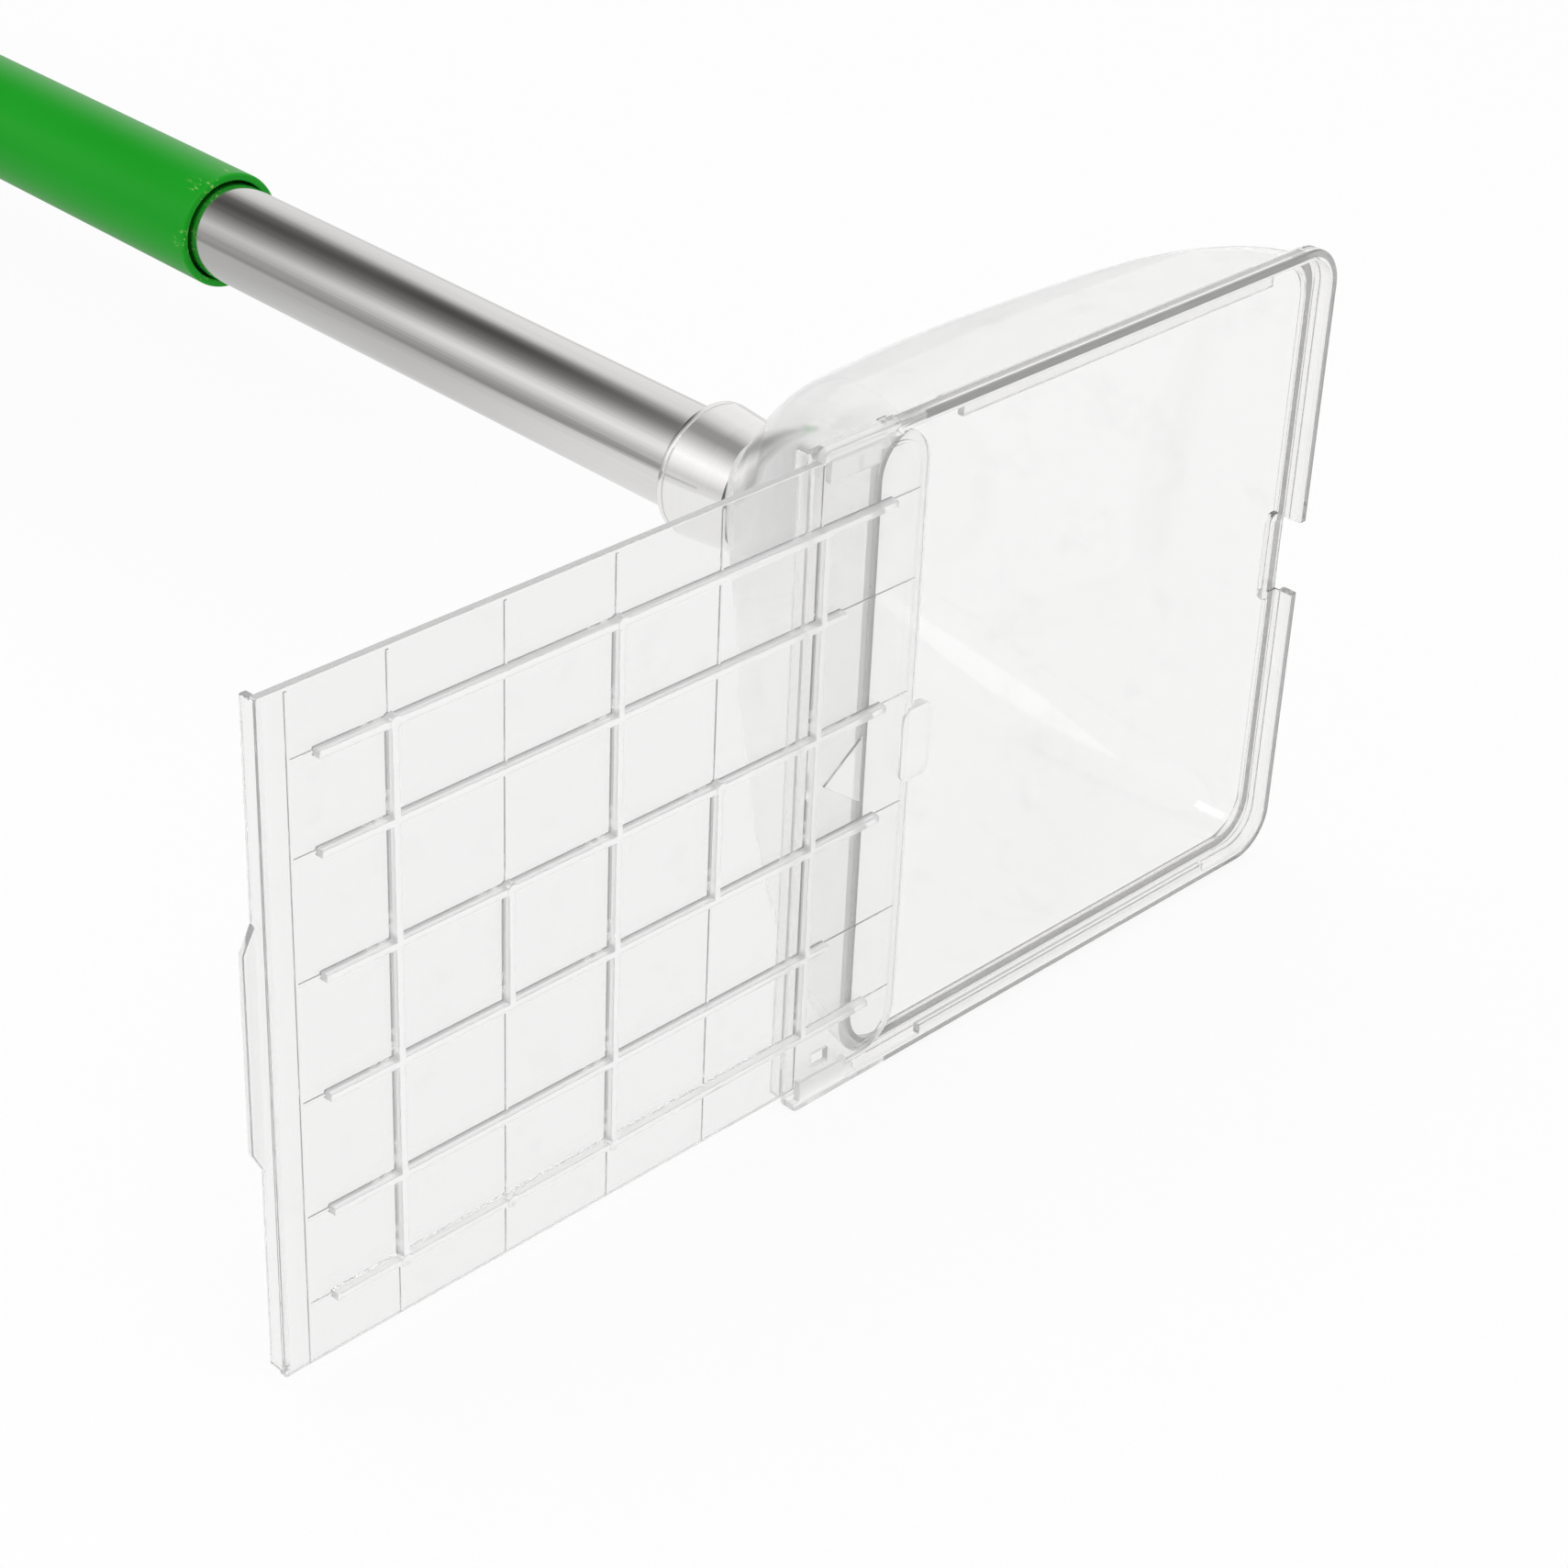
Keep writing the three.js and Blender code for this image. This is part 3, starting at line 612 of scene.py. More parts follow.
def round_edges(bm, radius, chosen=lambda edge: True):
    """Rounds the chosen edges that turn by more than the crease angle."""
    edges = [
        edge
        for edge in bm.edges
        if edge.is_manifold and edge.calc_face_angle() > radians(CREASE) and chosen(edge)
    ]
    bmesh.ops.bevel(
        bm,
        geom=edges,
        offset=radius * MM,
        offset_type="OFFSET",
        affect="EDGES",
        segments=ROUND_SEGMENTS,
        profile=0.5,
        clamp_overlap=True,
        material=-1,
    )
    return bm


def lies_at(along):
    """Chooses the edges that lie at one depth."""
    return lambda edge: all(abs(vert.co.y - along * MM) < SAME_DEPTH * MM for vert in edge.verts)


def slab(outline, front, back, front_round=0.0, back_round=0.0):
    """An outline of (across, up) pushed along the pole, its rims rounded."""
    bm = pushed([spot(across, front, up) for across, up in outline], (0, back - front, 0))
    if front_round > 0:
        round_edges(bm, front_round, lies_at(front))
    if back_round > 0:
        round_edges(bm, back_round, lies_at(back))
    return bm


def bar(section, left, right, edge_round=0.0):
    """A section of (along, up) pushed across."""
    bm = pushed([spot(left, along, up) for along, up in section], (right - left, 0, 0))
    return round_edges(bm, edge_round) if edge_round > 0 else bm


def holder(bm, name):
    mesh = bpy.data.meshes.new(name)
    bm.to_mesh(mesh)
    bm.free()
    return bpy.data.objects.new(name, mesh)


def combined(base, parts, operation):
    """Joins parts to a base, or cuts them from it, and gives the result back."""
    scene = bpy.context.scene
    first = holder(base, "working_base")
    scene.collection.objects.link(first)
    group = bpy.data.collections.new("working_parts")
    scene.collection.children.link(group)
    others = [holder(part, "working_part") for part in parts]
    for other in others:
        group.objects.link(other)
    step = first.modifiers.new("combine", "BOOLEAN")
    step.operation = operation
    step.operand_type = "COLLECTION"
    step.collection = group
    step.solver = "MANIFOLD"
    bpy.context.view_layer.update()
    result = bmesh.new()
    result.from_object(first, bpy.context.evaluated_depsgraph_get())
    for item in (first, *others):
        mesh = item.data
        bpy.data.objects.remove(item)
        bpy.data.meshes.remove(mesh)
    bpy.data.collections.remove(group)
    bmesh.ops.remove_doubles(result, verts=result.verts, dist=FINE_WELD * MM)
    return result


# Frame

FRAME_LEFT = -73.5
FRAME_RIGHT = 60.6
FRAME_CORNER = 9.0
FRAME_STEP_IN = 1.6
FRAME_FRONT = -2.0
FRAME_BACK = 3.0
FLANGE_BACK = 1.2
STEP_FRONT = -1.0
LEDGE = 1.75
WALL_INSIDE = 63.3
WALL_MIDDLE = 64.3
POCKET_LEFT = -78
POCKET_RIGHT = 58.6
POCKET_CORNER = 7.0
MOUTH_HALF_WIDTH = 56.5
MOUTH_HALF_HEIGHT = 61.2
MOUTH_CORNER = 8
CUT_FRONT = -6.0
CUT_BACK = 7.0
GUIDE_BACK = -0.53
SLOT_NEAR = 2.7
SLOT_FAR = 5.9
END_RIB_RIGHT = -72
END_RIB_HALF = 63.7
END_RIB_BACK = 4.8
NUB_LEFT = -56.8
NUB_RIGHT = -54.6
NUB_REACH = 0.8
NUB_FRONT = -1.65
LIP_HALF = 41
LIP_REACH = 2.0
CLIP_LEFT = -72
CLIP_RIGHT = -60
CLIP_REACH = 4.2
SILL_LEFT = -61
SILL_RIGHT = -57.6
SILL_REACH = 2.1
SILL_FRONT = -1.5
SLOT_LEFT = -66
SLOT_RIGHT = -62
SLOT_FRONT = 1.25
LATCH_WALL_LEFT = 54.2
LATCH_WALL_HALF = 9.4
NOTCH_LEFT = 55.4
NOTCH_RIGHT = 66
NOTCH_HALF = 7.8
NOTCH_BACK = 2.25


def frame_outline(inset):
    right = FRAME_RIGHT - inset
    return plate_outline(FRAME_LEFT, right, AXIS - inset, FRAME_STEP_IN, FRAME_CORNER - inset)


def frame_shell():
    """The frame's wall and ledge, open at the side the door comes in."""
    body = slab(frame_outline(0), FRAME_FRONT, FLANGE_BACK, 0.45, 0.4)
    stepped = slab(frame_outline(FRAME_STEP_IN), STEP_FRONT, FRAME_BACK, 0, 0.2)
    body = combined(body, [stepped], "UNION")
    pocket = plate_outline(POCKET_LEFT, POCKET_RIGHT, WALL_INSIDE, FRAME_STEP_IN, POCKET_CORNER)
    mouth = plate_outline(
        -MOUTH_HALF_WIDTH, MOUTH_HALF_WIDTH, MOUTH_HALF_HEIGHT, MOUTH_CORNER, MOUTH_CORNER
    )
    cuts = [slab(pocket, CUT_FRONT, LEDGE), slab(mouth, CUT_FRONT, CUT_BACK)]
    body = combined(body, cuts, "DIFFERENCE")

    def at_mouth(edge):
        return lies_at(LEDGE)(edge) and all(
            abs(vert.co.x) < (MOUTH_HALF_WIDTH + 0.1) * MM
            and abs(vert.co.z - AXIS * MM) < (MOUTH_HALF_HEIGHT + 0.1) * MM
            for vert in edge.verts
        )

    return round_edges(body, 0.35, lambda edge: lies_at(FRAME_FRONT)(edge) or at_mouth(edge))


def guide(side, reach, front, left, right, edge_round):
    """A bar above (side 1) or below (side -1) the mouth that keeps the door in."""
    inner = side * (WALL_INSIDE - reach)
    middle = side * WALL_MIDDLE
    section = [(front, inner), (front, middle), (GUIDE_BACK, middle), (GUIDE_BACK, inner)]
    return bar(section, left, right, edge_round)


def build_frame(material):
    """The frame with its lips, guide clips, end rib, stop nub and latch notch."""
    parts = []
    cuts = []
    for side in (-1, 1):
        parts.append(guide(side, LIP_REACH, FRAME_FRONT, -LIP_HALF, LIP_HALF, 0.35))
        parts.append(guide(side, CLIP_REACH, FRAME_FRONT, CLIP_LEFT, CLIP_RIGHT, 0.4))
        parts.append(guide(side, SILL_REACH, SILL_FRONT, SILL_LEFT, SILL_RIGHT, 0.3))
        low, high = sorted((side * (WALL_INSIDE - SLOT_NEAR), side * (WALL_INSIDE - SLOT_FAR)))
        cuts.append(slab(box_outline(SLOT_LEFT, SLOT_RIGHT, low, high), SLOT_FRONT, CUT_BACK))
    nub = box_outline(NUB_LEFT, NUB_RIGHT, WALL_INSIDE - NUB_REACH, WALL_MIDDLE)
    parts.append(round_edges(slab(nub, NUB_FRONT, FRAME_BACK), 0.25))
    end_rib = box_outline(FRAME_LEFT, END_RIB_RIGHT, -END_RIB_HALF, END_RIB_HALF)
    parts.append(round_edges(slab(end_rib, LEDGE, END_RIB_BACK), 0.3))
    latch_wall = plate_outline(LATCH_WALL_LEFT, POCKET_RIGHT, LATCH_WALL_HALF, 1.8, 1.8)
    parts.append(slab(latch_wall, LEDGE, FRAME_BACK, 0.2, 0.2))
    notch = plate_outline(NOTCH_LEFT, NOTCH_RIGHT, NOTCH_HALF, 1.4, 1.4)
    cuts.append(slab(notch, CUT_FRONT, NOTCH_BACK))
    frame_bm = combined(combined(frame_shell(), parts, "UNION"), cuts, "DIFFERENCE")
    piece = finish_piece(frame_bm, "clear_frame", "trap", material)
    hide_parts("door_frame")


# Sliding door

DOOR_LEFT = -184.8
DOOR_RIGHT = -46.0
DOOR_HALF = 62.2
DOOR_CORNER = 8
SMALL_CORNER = 0.6
PLATE_THICK = 1.5
FLANGE_REACH = 4.0
FLANGE_HALF = 61.6
EMBEDDED = 0.5
CATCH_LEFT = -187.1
CATCH_RIGHT = -184.05
CATCH_HALF = 22.8
CATCH_FLAT_HALF = 18.3
CATCH_FRONT = 2.6
TAB_LEFT = -49
TAB_RIGHT = -41.5
TAB_HALF = 7.3
TAB_CREST = 0.5
TRIANGLE = ((-68, 0), (-59, -6.6), (-59, 6.6))
TRIANGLE_CREST = 0.45
RIB_LEFT = -175.3
RIB_ROWS = ((50, -55), (33, -66), (11, -55), (-11, -55), (-33, -66), (-50, -55))
RIB_COLUMNS = [-161.2 + 22.44 * column for column in range(5)]
LONG_REACH = 50
SHORT_REACH = 11
LINE_LEFT = -179.7
LINE_RIGHT = -48
LINE_HALF = 61.6
LINE_CREST = 0.28
LINE_WIDTH = 0.6
BORDER_LEFT = -56
BORDER_RIGHT = -47.7
BORDER_HALF = 60.5
BORDER_CORNER = 6.3
BORDER_CUT_LEFT = -60
PADS = ((0, 50), (2, 50), (1, 11), (3, 11), (0, -50), (1, -50), (2, -50))
PAD_RADIUS = 1.2
PAD_FRONT = -1.95
PAD_STEPS = 32


def ridge(start, end, crest, foot_width, crest_width, edge_round):
    """A raised line on the plate's front from one (across, up) to another."""
    line = Vector((end[0] - start[0], 0, end[1] - start[1]))
    side = line.normalized().cross(Vector((0, 1, 0)))
    base = spot(start[0], 0, start[1])
    places = [(-foot_width / 2, EMBEDDED), (foot_width / 2, EMBEDDED), (crest_width / 2, -crest)]
    places.append((-crest_width / 2, -crest))
    points = [base + (side * offset + Vector((0, along, 0))) * MM for offset, along in places]
    return round_edges(pushed(points, line), edge_round)


def rib(start, end):
    return ridge(start, end, crest=1.85, foot_width=1.7, crest_width=1.35, edge_round=0.28)


def fine_line(start, end):
    return ridge(start, end, LINE_CREST, LINE_WIDTH, LINE_WIDTH, edge_round=0.12)


def build_door(material):
    """The plate with its flange, finger catch, latch tab, triangle, ribs, lines and pads."""
    plate_edge = plate_outline(DOOR_LEFT, DOOR_RIGHT, DOOR_HALF, SMALL_CORNER, DOOR_CORNER)
    plate = slab(plate_edge, 0, PLATE_THICK, 0.2, 0.2)
    flange = box_outline(DOOR_LEFT, DOOR_LEFT + PLATE_THICK, -FLANGE_HALF, FLANGE_HALF)
    catch = [(CATCH_RIGHT, -CATCH_HALF), (CATCH_RIGHT, CATCH_HALF), (DOOR_LEFT, CATCH_HALF)]
    catch += [(CATCH_LEFT, CATCH_FLAT_HALF), (CATCH_LEFT, -CATCH_FLAT_HALF)]
    catch.append((DOOR_LEFT, -CATCH_HALF))
    tab = plate_outline(TAB_LEFT, TAB_RIGHT, TAB_HALF, 2.2, 2.2)
    parts = [
        round_edges(slab(flange, 0, FLANGE_REACH), 0.3),
        round_edges(slab(catch, CATCH_FRONT, FLANGE_REACH), 0.35),
        slab(tab, -TAB_CREST, PLATE_THICK, 0.25, 0.25),
        slab(TRIANGLE, -TRIANGLE_CREST, EMBEDDED, 0.15),
    ]
    for up, right in RIB_ROWS:
        parts.append(rib((RIB_LEFT, up), (right, up)))
        parts.append(fine_line((LINE_LEFT, up), (LINE_RIGHT, up)))
    for column, across in enumerate(RIB_COLUMNS):
        reach = LONG_REACH if column % 2 == 0 else SHORT_REACH
        parts.append(rib((across, -reach), (across, reach)))
        parts.append(fine_line((across, -LINE_HALF), (across, LINE_HALF)))
    parts.append(fine_line((LINE_LEFT, -LINE_HALF), (LINE_LEFT, LINE_HALF)))
    for column, up in PADS:
        outline = arc((RIB_COLUMNS[column], up), PAD_RADIUS, 0, 4, PAD_STEPS)[:-1]
        parts.append(slab(outline, PAD_FRONT, EMBEDDED, 0.3))
    border = plate_outline(
        BORDER_LEFT, BORDER_RIGHT, BORDER_HALF, SMALL_CORNER, BORDER_CORNER
    )
    inside = plate_outline(
        BORDER_CUT_LEFT,
        BORDER_RIGHT - LINE_WIDTH,
        BORDER_HALF - LINE_WIDTH,
        SMALL_CORNER,
        BORDER_CORNER - LINE_WIDTH,
    )
    border = slab(border, -LINE_CREST, EMBEDDED, 0.1)
    parts.append(combined(border, [slab(inside, -4.0, 4.0)], "DIFFERENCE"))
    door_bm = combined(plate, parts, "UNION")
    piece = finish_piece(door_bm, "clear_door", "door", material)
    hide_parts("sliding_door")


# Pole and grip

TUBE_BORE = 10.2
TUBE_RADIUS = 11.0
TUBE_MIDDLE = 200.0
TUBE_END = 360.0
COLLAR_BORE = 11.25
COLLAR_FRONT_RADIUS = 12.4
COLLAR_RADIUS = 14.1
COLLAR_GROOVE_RADIUS = 13.85
COLLAR_BACK = 98.6
COLLAR_MIDDLE = 92.0
COLLAR_FLARE = (13.3, 88.5, 6.0)
COLLAR_GROOVE_FRONT = 96.9
COLLAR_GROOVE_BACK = 97.25
GRIP_RADIUS = 13.2
GRIP_BORE = 12.0
GRIP_NECK_BORE = 11.3
GRIP_MOUTH_BORE = 11.5
GRIP_FRONT = 252.4
GRIP_MOUTH_BACK = 257.4
GRIP_NECK_BACK = 278.4
GRIP_MIDDLE = 400.0
GRIP_BACK = 542.4
PLUG_FRONT = 344.0
PLUG_BACK = 375.0
PLUG_RADIUS = 11.7
PLUG_SHANK_RADIUS = 9.95
PLUG_GROOVE_RADIUS = 9.73
PLUG_GROOVES = ((363.0, 365.5), (369.0, 371.5))
RING_MIDDLE_RADIUS = 10.88
RING_THICKNESS_RADIUS = 0.95
RING_STEPS = 24


def build_tube(material):
    profile = rounded_profile(
        [
            (TUBE_BORE, TUBE_MIDDLE),
            (TUBE_BORE, SEAT, 0.15),
            (TUBE_RADIUS, SEAT, 0.25),
            (TUBE_RADIUS, TUBE_END, 0.25),
            (TUBE_BORE, TUBE_END, 0.15),
            (TUBE_BORE, TUBE_MIDDLE),
        ]
    )
    piece = finish_piece(turned(profile), "bright_tube", "trap", material)
    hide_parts("pole_tube")


def build_collar(material):
    profile = rounded_profile(
        [
            (COLLAR_BORE, COLLAR_MIDDLE),
            (COLLAR_BORE, SEAT, 0.2),
            (COLLAR_FRONT_RADIUS, SEAT, 0.25),
            COLLAR_FLARE,
            (COLLAR_RADIUS, COLLAR_GROOVE_FRONT, 0.12),
            (COLLAR_GROOVE_RADIUS, COLLAR_GROOVE_FRONT),
            (COLLAR_GROOVE_RADIUS, COLLAR_GROOVE_BACK),
            (COLLAR_RADIUS, COLLAR_GROOVE_BACK, 0.12),
            (COLLAR_RADIUS, COLLAR_BACK, 0.3),
            (COLLAR_BORE, COLLAR_BACK, 0.25),
            (COLLAR_BORE, COLLAR_MIDDLE),
        ]
    )
    piece = finish_piece(turned(profile), "bright_collar", "trap", material)
    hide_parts("neck_collar")


def build_grip(material):
    profile = rounded_profile(
        [
            (GRIP_BORE, GRIP_MIDDLE),
            (GRIP_BORE, GRIP_NECK_BACK),
            (GRIP_NECK_BORE, GRIP_NECK_BACK, 0.2),
            (GRIP_NECK_BORE, GRIP_MOUTH_BACK, 0.2),
            (GRIP_MOUTH_BORE, GRIP_MOUTH_BACK, 0.1),
            (GRIP_MOUTH_BORE, GRIP_FRONT, 0.35),
            (GRIP_RADIUS, GRIP_FRONT, 0.6),
            (GRIP_RADIUS, GRIP_BACK, 0.3),
            (GRIP_BORE, GRIP_BACK, 0.2),
            (GRIP_BORE, GRIP_MIDDLE),
        ]
    )
    piece = finish_piece(turned(profile), "green_sleeve", "grip", material)
    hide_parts("grip_sleeve")


SHANK_FRONT = 529.4
SHANK_RADIUS = 11.75
SHANK_CHAMFER = 0.8
CAP_SHOULDER_CHAMFER = 0.3
NOSE_FRONT = 546.4
NOSE_LENGTH = 20
NOSE_STEPS = 24
EYE_OUTSIDE = 17.2
EYE_SWEEP_FRONT = 547.9
EYE_SWEEP_HALF = 9.5
EYE_HALF = 4.5
EYE_SWEEP_REACH = 5.0
EYE_SWEEP_STEPS = 12
EYE_CUT_BACK = 570.4
HOLE_ENDS = (556.1, 558.7)
HOLE_RADIUS = 3.2
HOLE_HALF_STEPS = 20
HOLE_REACH = 9
EYE_ROUND_FROM = 548.5


def eye_cutter(side):
    """What is cut from one side of the bullet to flatten it into the eye."""
    sweep = [(side * EYE_OUTSIDE, EYE_SWEEP_FRONT), (side * EYE_SWEEP_HALF, EYE_SWEEP_FRONT)]
    for step in range(1, EYE_SWEEP_STEPS + 1):
        share = step / EYE_SWEEP_STEPS
        across = mix(mix(EYE_SWEEP_HALF, EYE_HALF, share), EYE_HALF, share)
        sweep_back = EYE_SWEEP_FRONT + EYE_SWEEP_REACH
        along = mix(EYE_SWEEP_FRONT, mix(EYE_SWEEP_FRONT, sweep_back, share), share)
        sweep.append((side * across, along))
    sweep += [(side * EYE_HALF, EYE_CUT_BACK), (side * EYE_OUTSIDE, EYE_CUT_BACK)]
    face = [spot(across, along, -EYE_OUTSIDE) for across, along in sweep]
    return pushed(face, (0, 0, 2 * EYE_OUTSIDE))


def build_cap(material):
    """Bullet-nosed end cap, flattened into an eye to hang it by."""
    nose = [
        (GRIP_RADIUS * (1 - (step / NOSE_STEPS) ** 2) ** 0.5, NOSE_FRONT + NOSE_LENGTH * step / NOSE_STEPS)
        for step in range(NOSE_STEPS)
    ]
    shank = [
        (0, SHANK_FRONT),
        (SHANK_RADIUS - SHANK_CHAMFER, SHANK_FRONT),
        (SHANK_RADIUS, SHANK_FRONT + SHANK_CHAMFER),
        (SHANK_RADIUS, GRIP_BACK),
        (GRIP_RADIUS - CAP_SHOULDER_CHAMFER, GRIP_BACK),
        (GRIP_RADIUS, GRIP_BACK + CAP_SHOULDER_CHAMFER),
    ]
    bullet = turned(shank + nose + [(0, NOSE_FRONT + NOSE_LENGTH)], SMALL_TURN_STEPS)
    near, far = HOLE_ENDS
    hole = arc((near, 0), HOLE_RADIUS, 1, 3, HOLE_HALF_STEPS)
    hole += arc((far, 0), HOLE_RADIUS, -1, 1, HOLE_HALF_STEPS)
    cutters = [eye_cutter(-1), eye_cutter(1), bar(hole, -HOLE_REACH, HOLE_REACH)]
    cap_bm = combined(bullet, cutters, "DIFFERENCE")

    def at_eye(edge):
        return all(vert.co.y > EYE_ROUND_FROM * MM for vert in edge.verts)

    round_edges(cap_bm, 0.35, at_eye)
    piece = finish_piece(cap_bm, "green_cap", "grip", material)
    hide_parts("grip_end_cap")


def build_plug(material, rubber):
    """The plug in the tube's far end, and its two rings."""
    corners = [
        (0.0, PLUG_FRONT),
        (PLUG_SHANK_RADIUS, PLUG_FRONT, 0.8),
        (PLUG_SHANK_RADIUS, TUBE_END),
        (PLUG_RADIUS, TUBE_END, 0.3),
    ]
    for front, back in PLUG_GROOVES:
        corners.append((PLUG_RADIUS, front, 0.15))
        corners.append((PLUG_GROOVE_RADIUS, front))
        corners.append((PLUG_GROOVE_RADIUS, back))
        corners.append((PLUG_RADIUS, back, 0.15))
    corners += [(PLUG_RADIUS, PLUG_BACK, 0.8), (0.0, PLUG_BACK)]
    plug_bm = turned(rounded_profile(corners), SMALL_TURN_STEPS)
    piece = finish_piece(plug_bm, "dark_plug", "trap", material)
    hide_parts("tube_plug")
    for place, (front, back) in zip(("front", "rear"), PLUG_GROOVES):
        centre = (RING_MIDDLE_RADIUS, (front + back) / 2)
        ring = arc(centre, RING_THICKNESS_RADIUS, 0, 4, RING_STEPS)
        ring_bm = turned(ring, SMALL_TURN_STEPS)
        piece = finish_piece(ring_bm, f"rubber_ring_{place}", "trap", rubber)
        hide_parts(f"friction_ring_{place}")


# Build

dome_clear = clear_plastic("dome_clear", colour(0.982, 0.981, 0.979), 0.09, neck=True, gloss=0.05)
# The frame's plastic carries painted shade on its front rim and the mouth's left edge.
frame_clear = clear_plastic("frame_clear", colour(0.945, 0.941, 0.935), 0.035, relief=0.16, edge=True)
door_clear = clear_plastic("door_clear", colour(0.94, 0.939, 0.937), 0.1, relief=0.3, rim=61.9)
green = green_grip()

build_dome(dome_clear)
build_frame(frame_clear)
build_door(door_clear)
build_tube(drawn_steel())
build_collar(polished_collar())
build_grip(green)
build_cap(green)
build_plug(
    dark_moulding("dark_plastic", colour(0.012, 0.013, 0.014), 0.5, 1800.0, 0.2),
    dark_moulding("dark_rubber", grey(0.009), 0.72, 3000.0, 0.15),
)


# Floor, light and camera

FLOOR_REACH = 8.0
FLOOR_DROP = 0.0002
FLOOR_PAPER = 0.86
FLOOR_SEEN_SHARE = 0.84
FLOOR_THROUGH_SHARE = 0.95
GREYS_FROM = -0.6
GREYS_SPAN = 0.8
FLOOR_GREYS = (
    (-0.6, 0.42),
    (-0.3, 0.31),
    (-0.21, 0.28),
    (-0.185, 0.6),
    (-0.1, 0.62),
    (0.0, 0.68),
    (0.1, 0.84),
    (0.2, 0.9),
)


def build_floor():
    """Plain white floor. It keeps the object's shadow, softly, and greys in reflections."""
    bm = bmesh.new()
    bmesh.ops.create_grid(bm, x_segments=1, y_segments=1, size=FLOOR_REACH)
    floor = holder(bm, "floor")
    floor.location.z = -FLOOR_DROP
    bpy.context.scene.collection.objects.link(floor)
    material, finish = new_material("floor_white")
    camera_ray, glossy, transmitted = finish.rays("Camera", "Glossy", "Transmission")
    mirror = glossy * (1 - transmitted)
    share = (camera_ray + mirror) * FLOOR_SEEN_SHARE + transmitted * FLOOR_THROUGH_SHARE
    paper = finish.node("ShaderNodeBsdfDiffuse", values={"Color": grey(FLOOR_PAPER)})
    across, along, _ = finish.axes(finish.place())
    stops = [((place - GREYS_FROM) / GREYS_SPAN, grey(value)) for place, value in FLOOR_GREYS]
    greys = finish.ramp((across - GREYS_FROM) / GREYS_SPAN, stops)
    near = (across * 0.5 + along).between(0.24, 0.14)
    mirrored = finish.colours(near, greys, grey(0.98))
    mirrored = finish.colours(along.between(0.27, 0.33) * 0.18, mirrored, grey(0.02))
    white_paper = finish.colours(transmitted, grey(1), colour(0.962, 0.962, 0.96))
    tone = finish.colours(mirror, white_paper, mirrored)
    white = finish.node("ShaderNodeEmission", values={"Color": tone, "Strength": 1.0})
    finish.surface(finish.blend(share, paper, white))
    floor.data.materials.append(material)


# Greys that a mirror ray meets, by its angle round the pole. The pale ring shows in the collar,
# the strip in the tube, the dim one in the tube near the grip, and the wide one through plastic.
STUDIO_STRIP = (
    (-180, 0.55),
    (-150, 0.85),
    (-30, 0.9),
    (30, 0.96),
    (52, 0.9),
    (62, 0.6),
    (71, 0.22),
    (82, 0.08),
    (92, 0.09),
    (112, 0.24),
    (128, 0.52),
    (140, 0.84),
    (151, 1.04),
    (162, 0.86),
    (174, 0.58),
    (180, 0.5),
)
STUDIO_PALE = (
    (-180, 0.8),
    (0, 1.0),
    (50, 0.95),
    (70, 0.75),
    (88, 0.34),
    (102, 0.34),
    (118, 0.66),
    (132, 1.0),
    (144, 1.2),
    (158, 1.0),
    (172, 0.7),
    (180, 0.8),
)
STUDIO_DIM = (
    (-180, 0.4),
    (-150, 0.75),
    (-30, 0.9),
    (30, 0.85),
    (46, 0.72),
    (54, 0.52),
    (62, 0.36),
    (71, 0.17),
    (82, 0.125),
    (92, 0.085),
    (112, 0.17),
    (128, 0.345),
    (140, 0.51),
    (151, 0.7),
    (162, 0.64),
    (174, 0.5),
    (180, 0.4),
)
STUDIO_WIDE = (
    (-180, 0.9),
    (-90, 1.0),
    (0, 1.0),
    (45, 0.95),
    (70, 0.6),
    (90, 0.35),
    (115, 0.6),
    (140, 0.97),
    (180, 0.9),
)
STUDIO_PLAIN = 0.96
STUDIO_WARMTH = 0.004
PLAIN_TO_RINGS = (0.15, 0.4)
PALE_TO_STRIP = (0.607, 0.69)
STRIP_TO_DIM = (0.69, 0.735)
WIDE_TO_PLAIN = (0.75, 0.92)


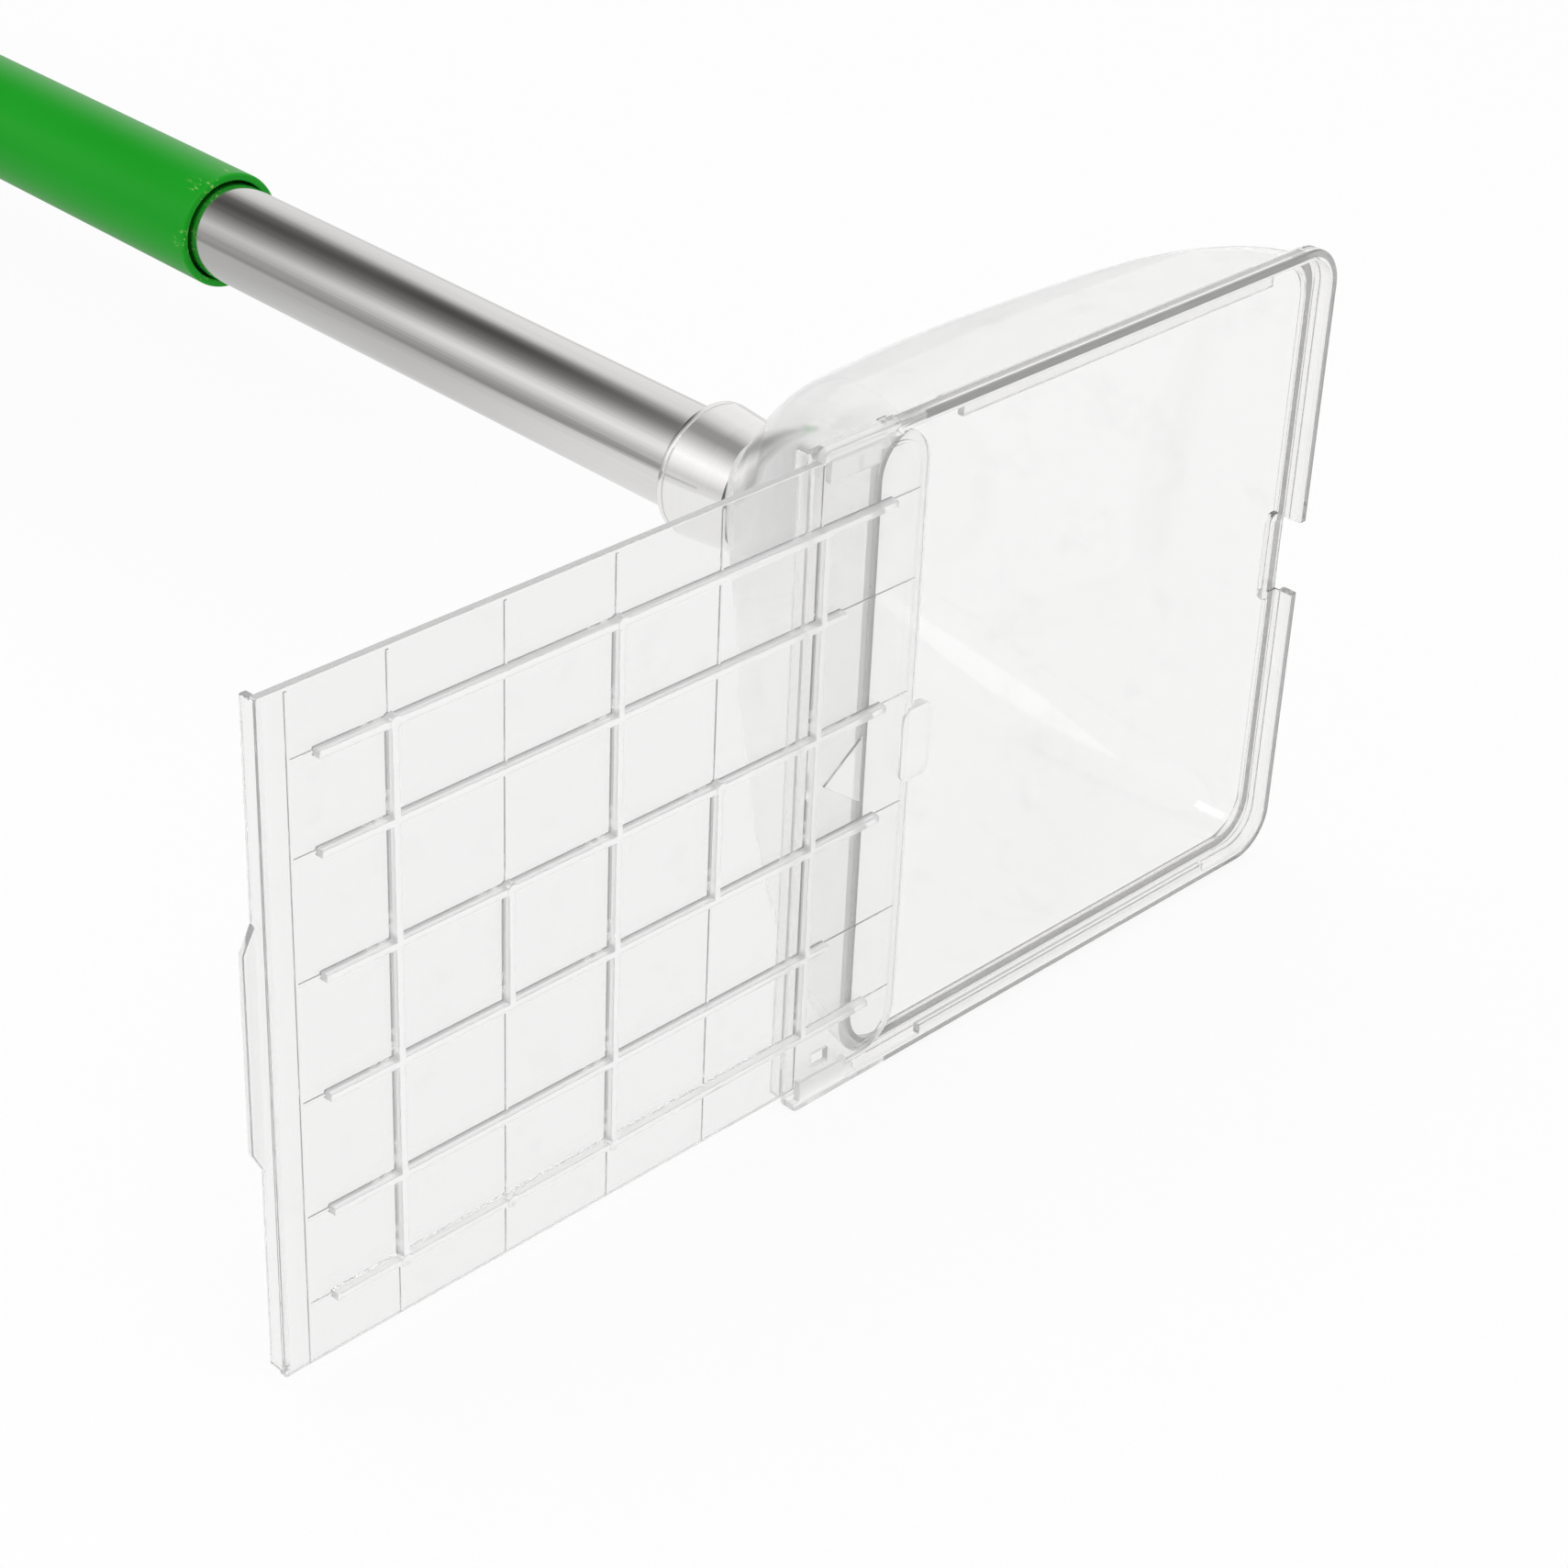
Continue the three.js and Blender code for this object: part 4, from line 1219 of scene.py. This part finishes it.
def build_world():
    """White studio. Reflections see it with a dark strip overhead, turned about the pole."""
    world = bpy.data.worlds.new("studio")
    bpy.context.scene.world = world
    world.use_nodes = True
    finish = Finish(world.node_tree)
    across, along, up = finish.axes(finish.node("ShaderNodeTexCoord", output="Generated"))
    turn = up.maths("ARCTAN2", up, across) / (2 * pi) + 0.5

    def ring_of(greys):
        warm = STUDIO_WARMTH
        stops = [
            ((angle + 180) / 360, colour(value + warm, value, value - warm))
            for angle, value in greys
        ]
        return finish.ramp(turn, stops)

    plain = grey(STUDIO_PLAIN)
    pale, strip, dim, wide = (
        ring_of(greys) for greys in (STUDIO_PALE, STUDIO_STRIP, STUDIO_DIM, STUDIO_WIDE)
    )
    rings = finish.colours(along.between(*PALE_TO_STRIP), pale, strip)
    rings = finish.colours(along.between(*STRIP_TO_DIM), rings, dim)
    rings = finish.colours(along.between(*PLAIN_TO_RINGS), plain, rings)
    through = finish.colours(along.between(*WIDE_TO_PLAIN), wide, plain)
    glossy, transmitted = finish.rays("Glossy", "Transmission")
    seen = finish.colours(glossy, grey(1), rings)
    seen = finish.colours(transmitted, seen, through)
    light = finish.node("ShaderNodeBackground", values={"Color": seen, "Strength": 1.0})
    finish.node("ShaderNodeOutputWorld", values={"Surface": light})


def add_lamp(name, place, target, size, energy):
    lamp = bpy.data.lights.new(name, "AREA")
    lamp.shape = "SQUARE"
    lamp.size = size
    lamp.energy = energy
    stand = bpy.data.objects.new(name, lamp)
    stand.location = place
    stand.rotation_euler = (Vector(target) - Vector(place)).to_track_quat("-Z", "Y").to_euler()
    bpy.context.scene.collection.objects.link(stand)


CAMERA_SENSOR = 36.0
CAMERA_LENS = 81.14
CAMERA_SHIFT_X = -0.003
CAMERA_SHIFT_Y = -0.0032
CAMERA_PLACE = (-0.43959, -0.34619, 0.37964)
CAMERA_TURN = (
    (0.707082, 0.346842, -0.616227),
    (-0.705985, 0.395870, -0.587258),
    (0.040260, 0.850287, 0.524778),
)


def build_camera():
    """The camera that was fitted to the photograph."""
    camera = bpy.data.cameras.new("camera")
    camera.sensor_width = CAMERA_SENSOR
    camera.lens = CAMERA_LENS
    camera.shift_x = CAMERA_SHIFT_X
    camera.shift_y = CAMERA_SHIFT_Y
    stand = bpy.data.objects.new("camera", camera)
    stand.matrix_world = Matrix.Translation(CAMERA_PLACE) @ Matrix(CAMERA_TURN).to_4x4()
    bpy.context.scene.collection.objects.link(stand)
    bpy.context.scene.camera = stand


build_floor()
build_world()
add_lamp("key", (-0.88, -0.01, 1.13), (0, 0.1, 0.06), size=0.5, energy=2.4)
add_lamp("front", (-0.5, -1.2, 0.62), (0, 0.05, 0.06), size=0.6, energy=0.85)
build_camera()
bpy.context.scene.view_settings.view_transform = "Standard"
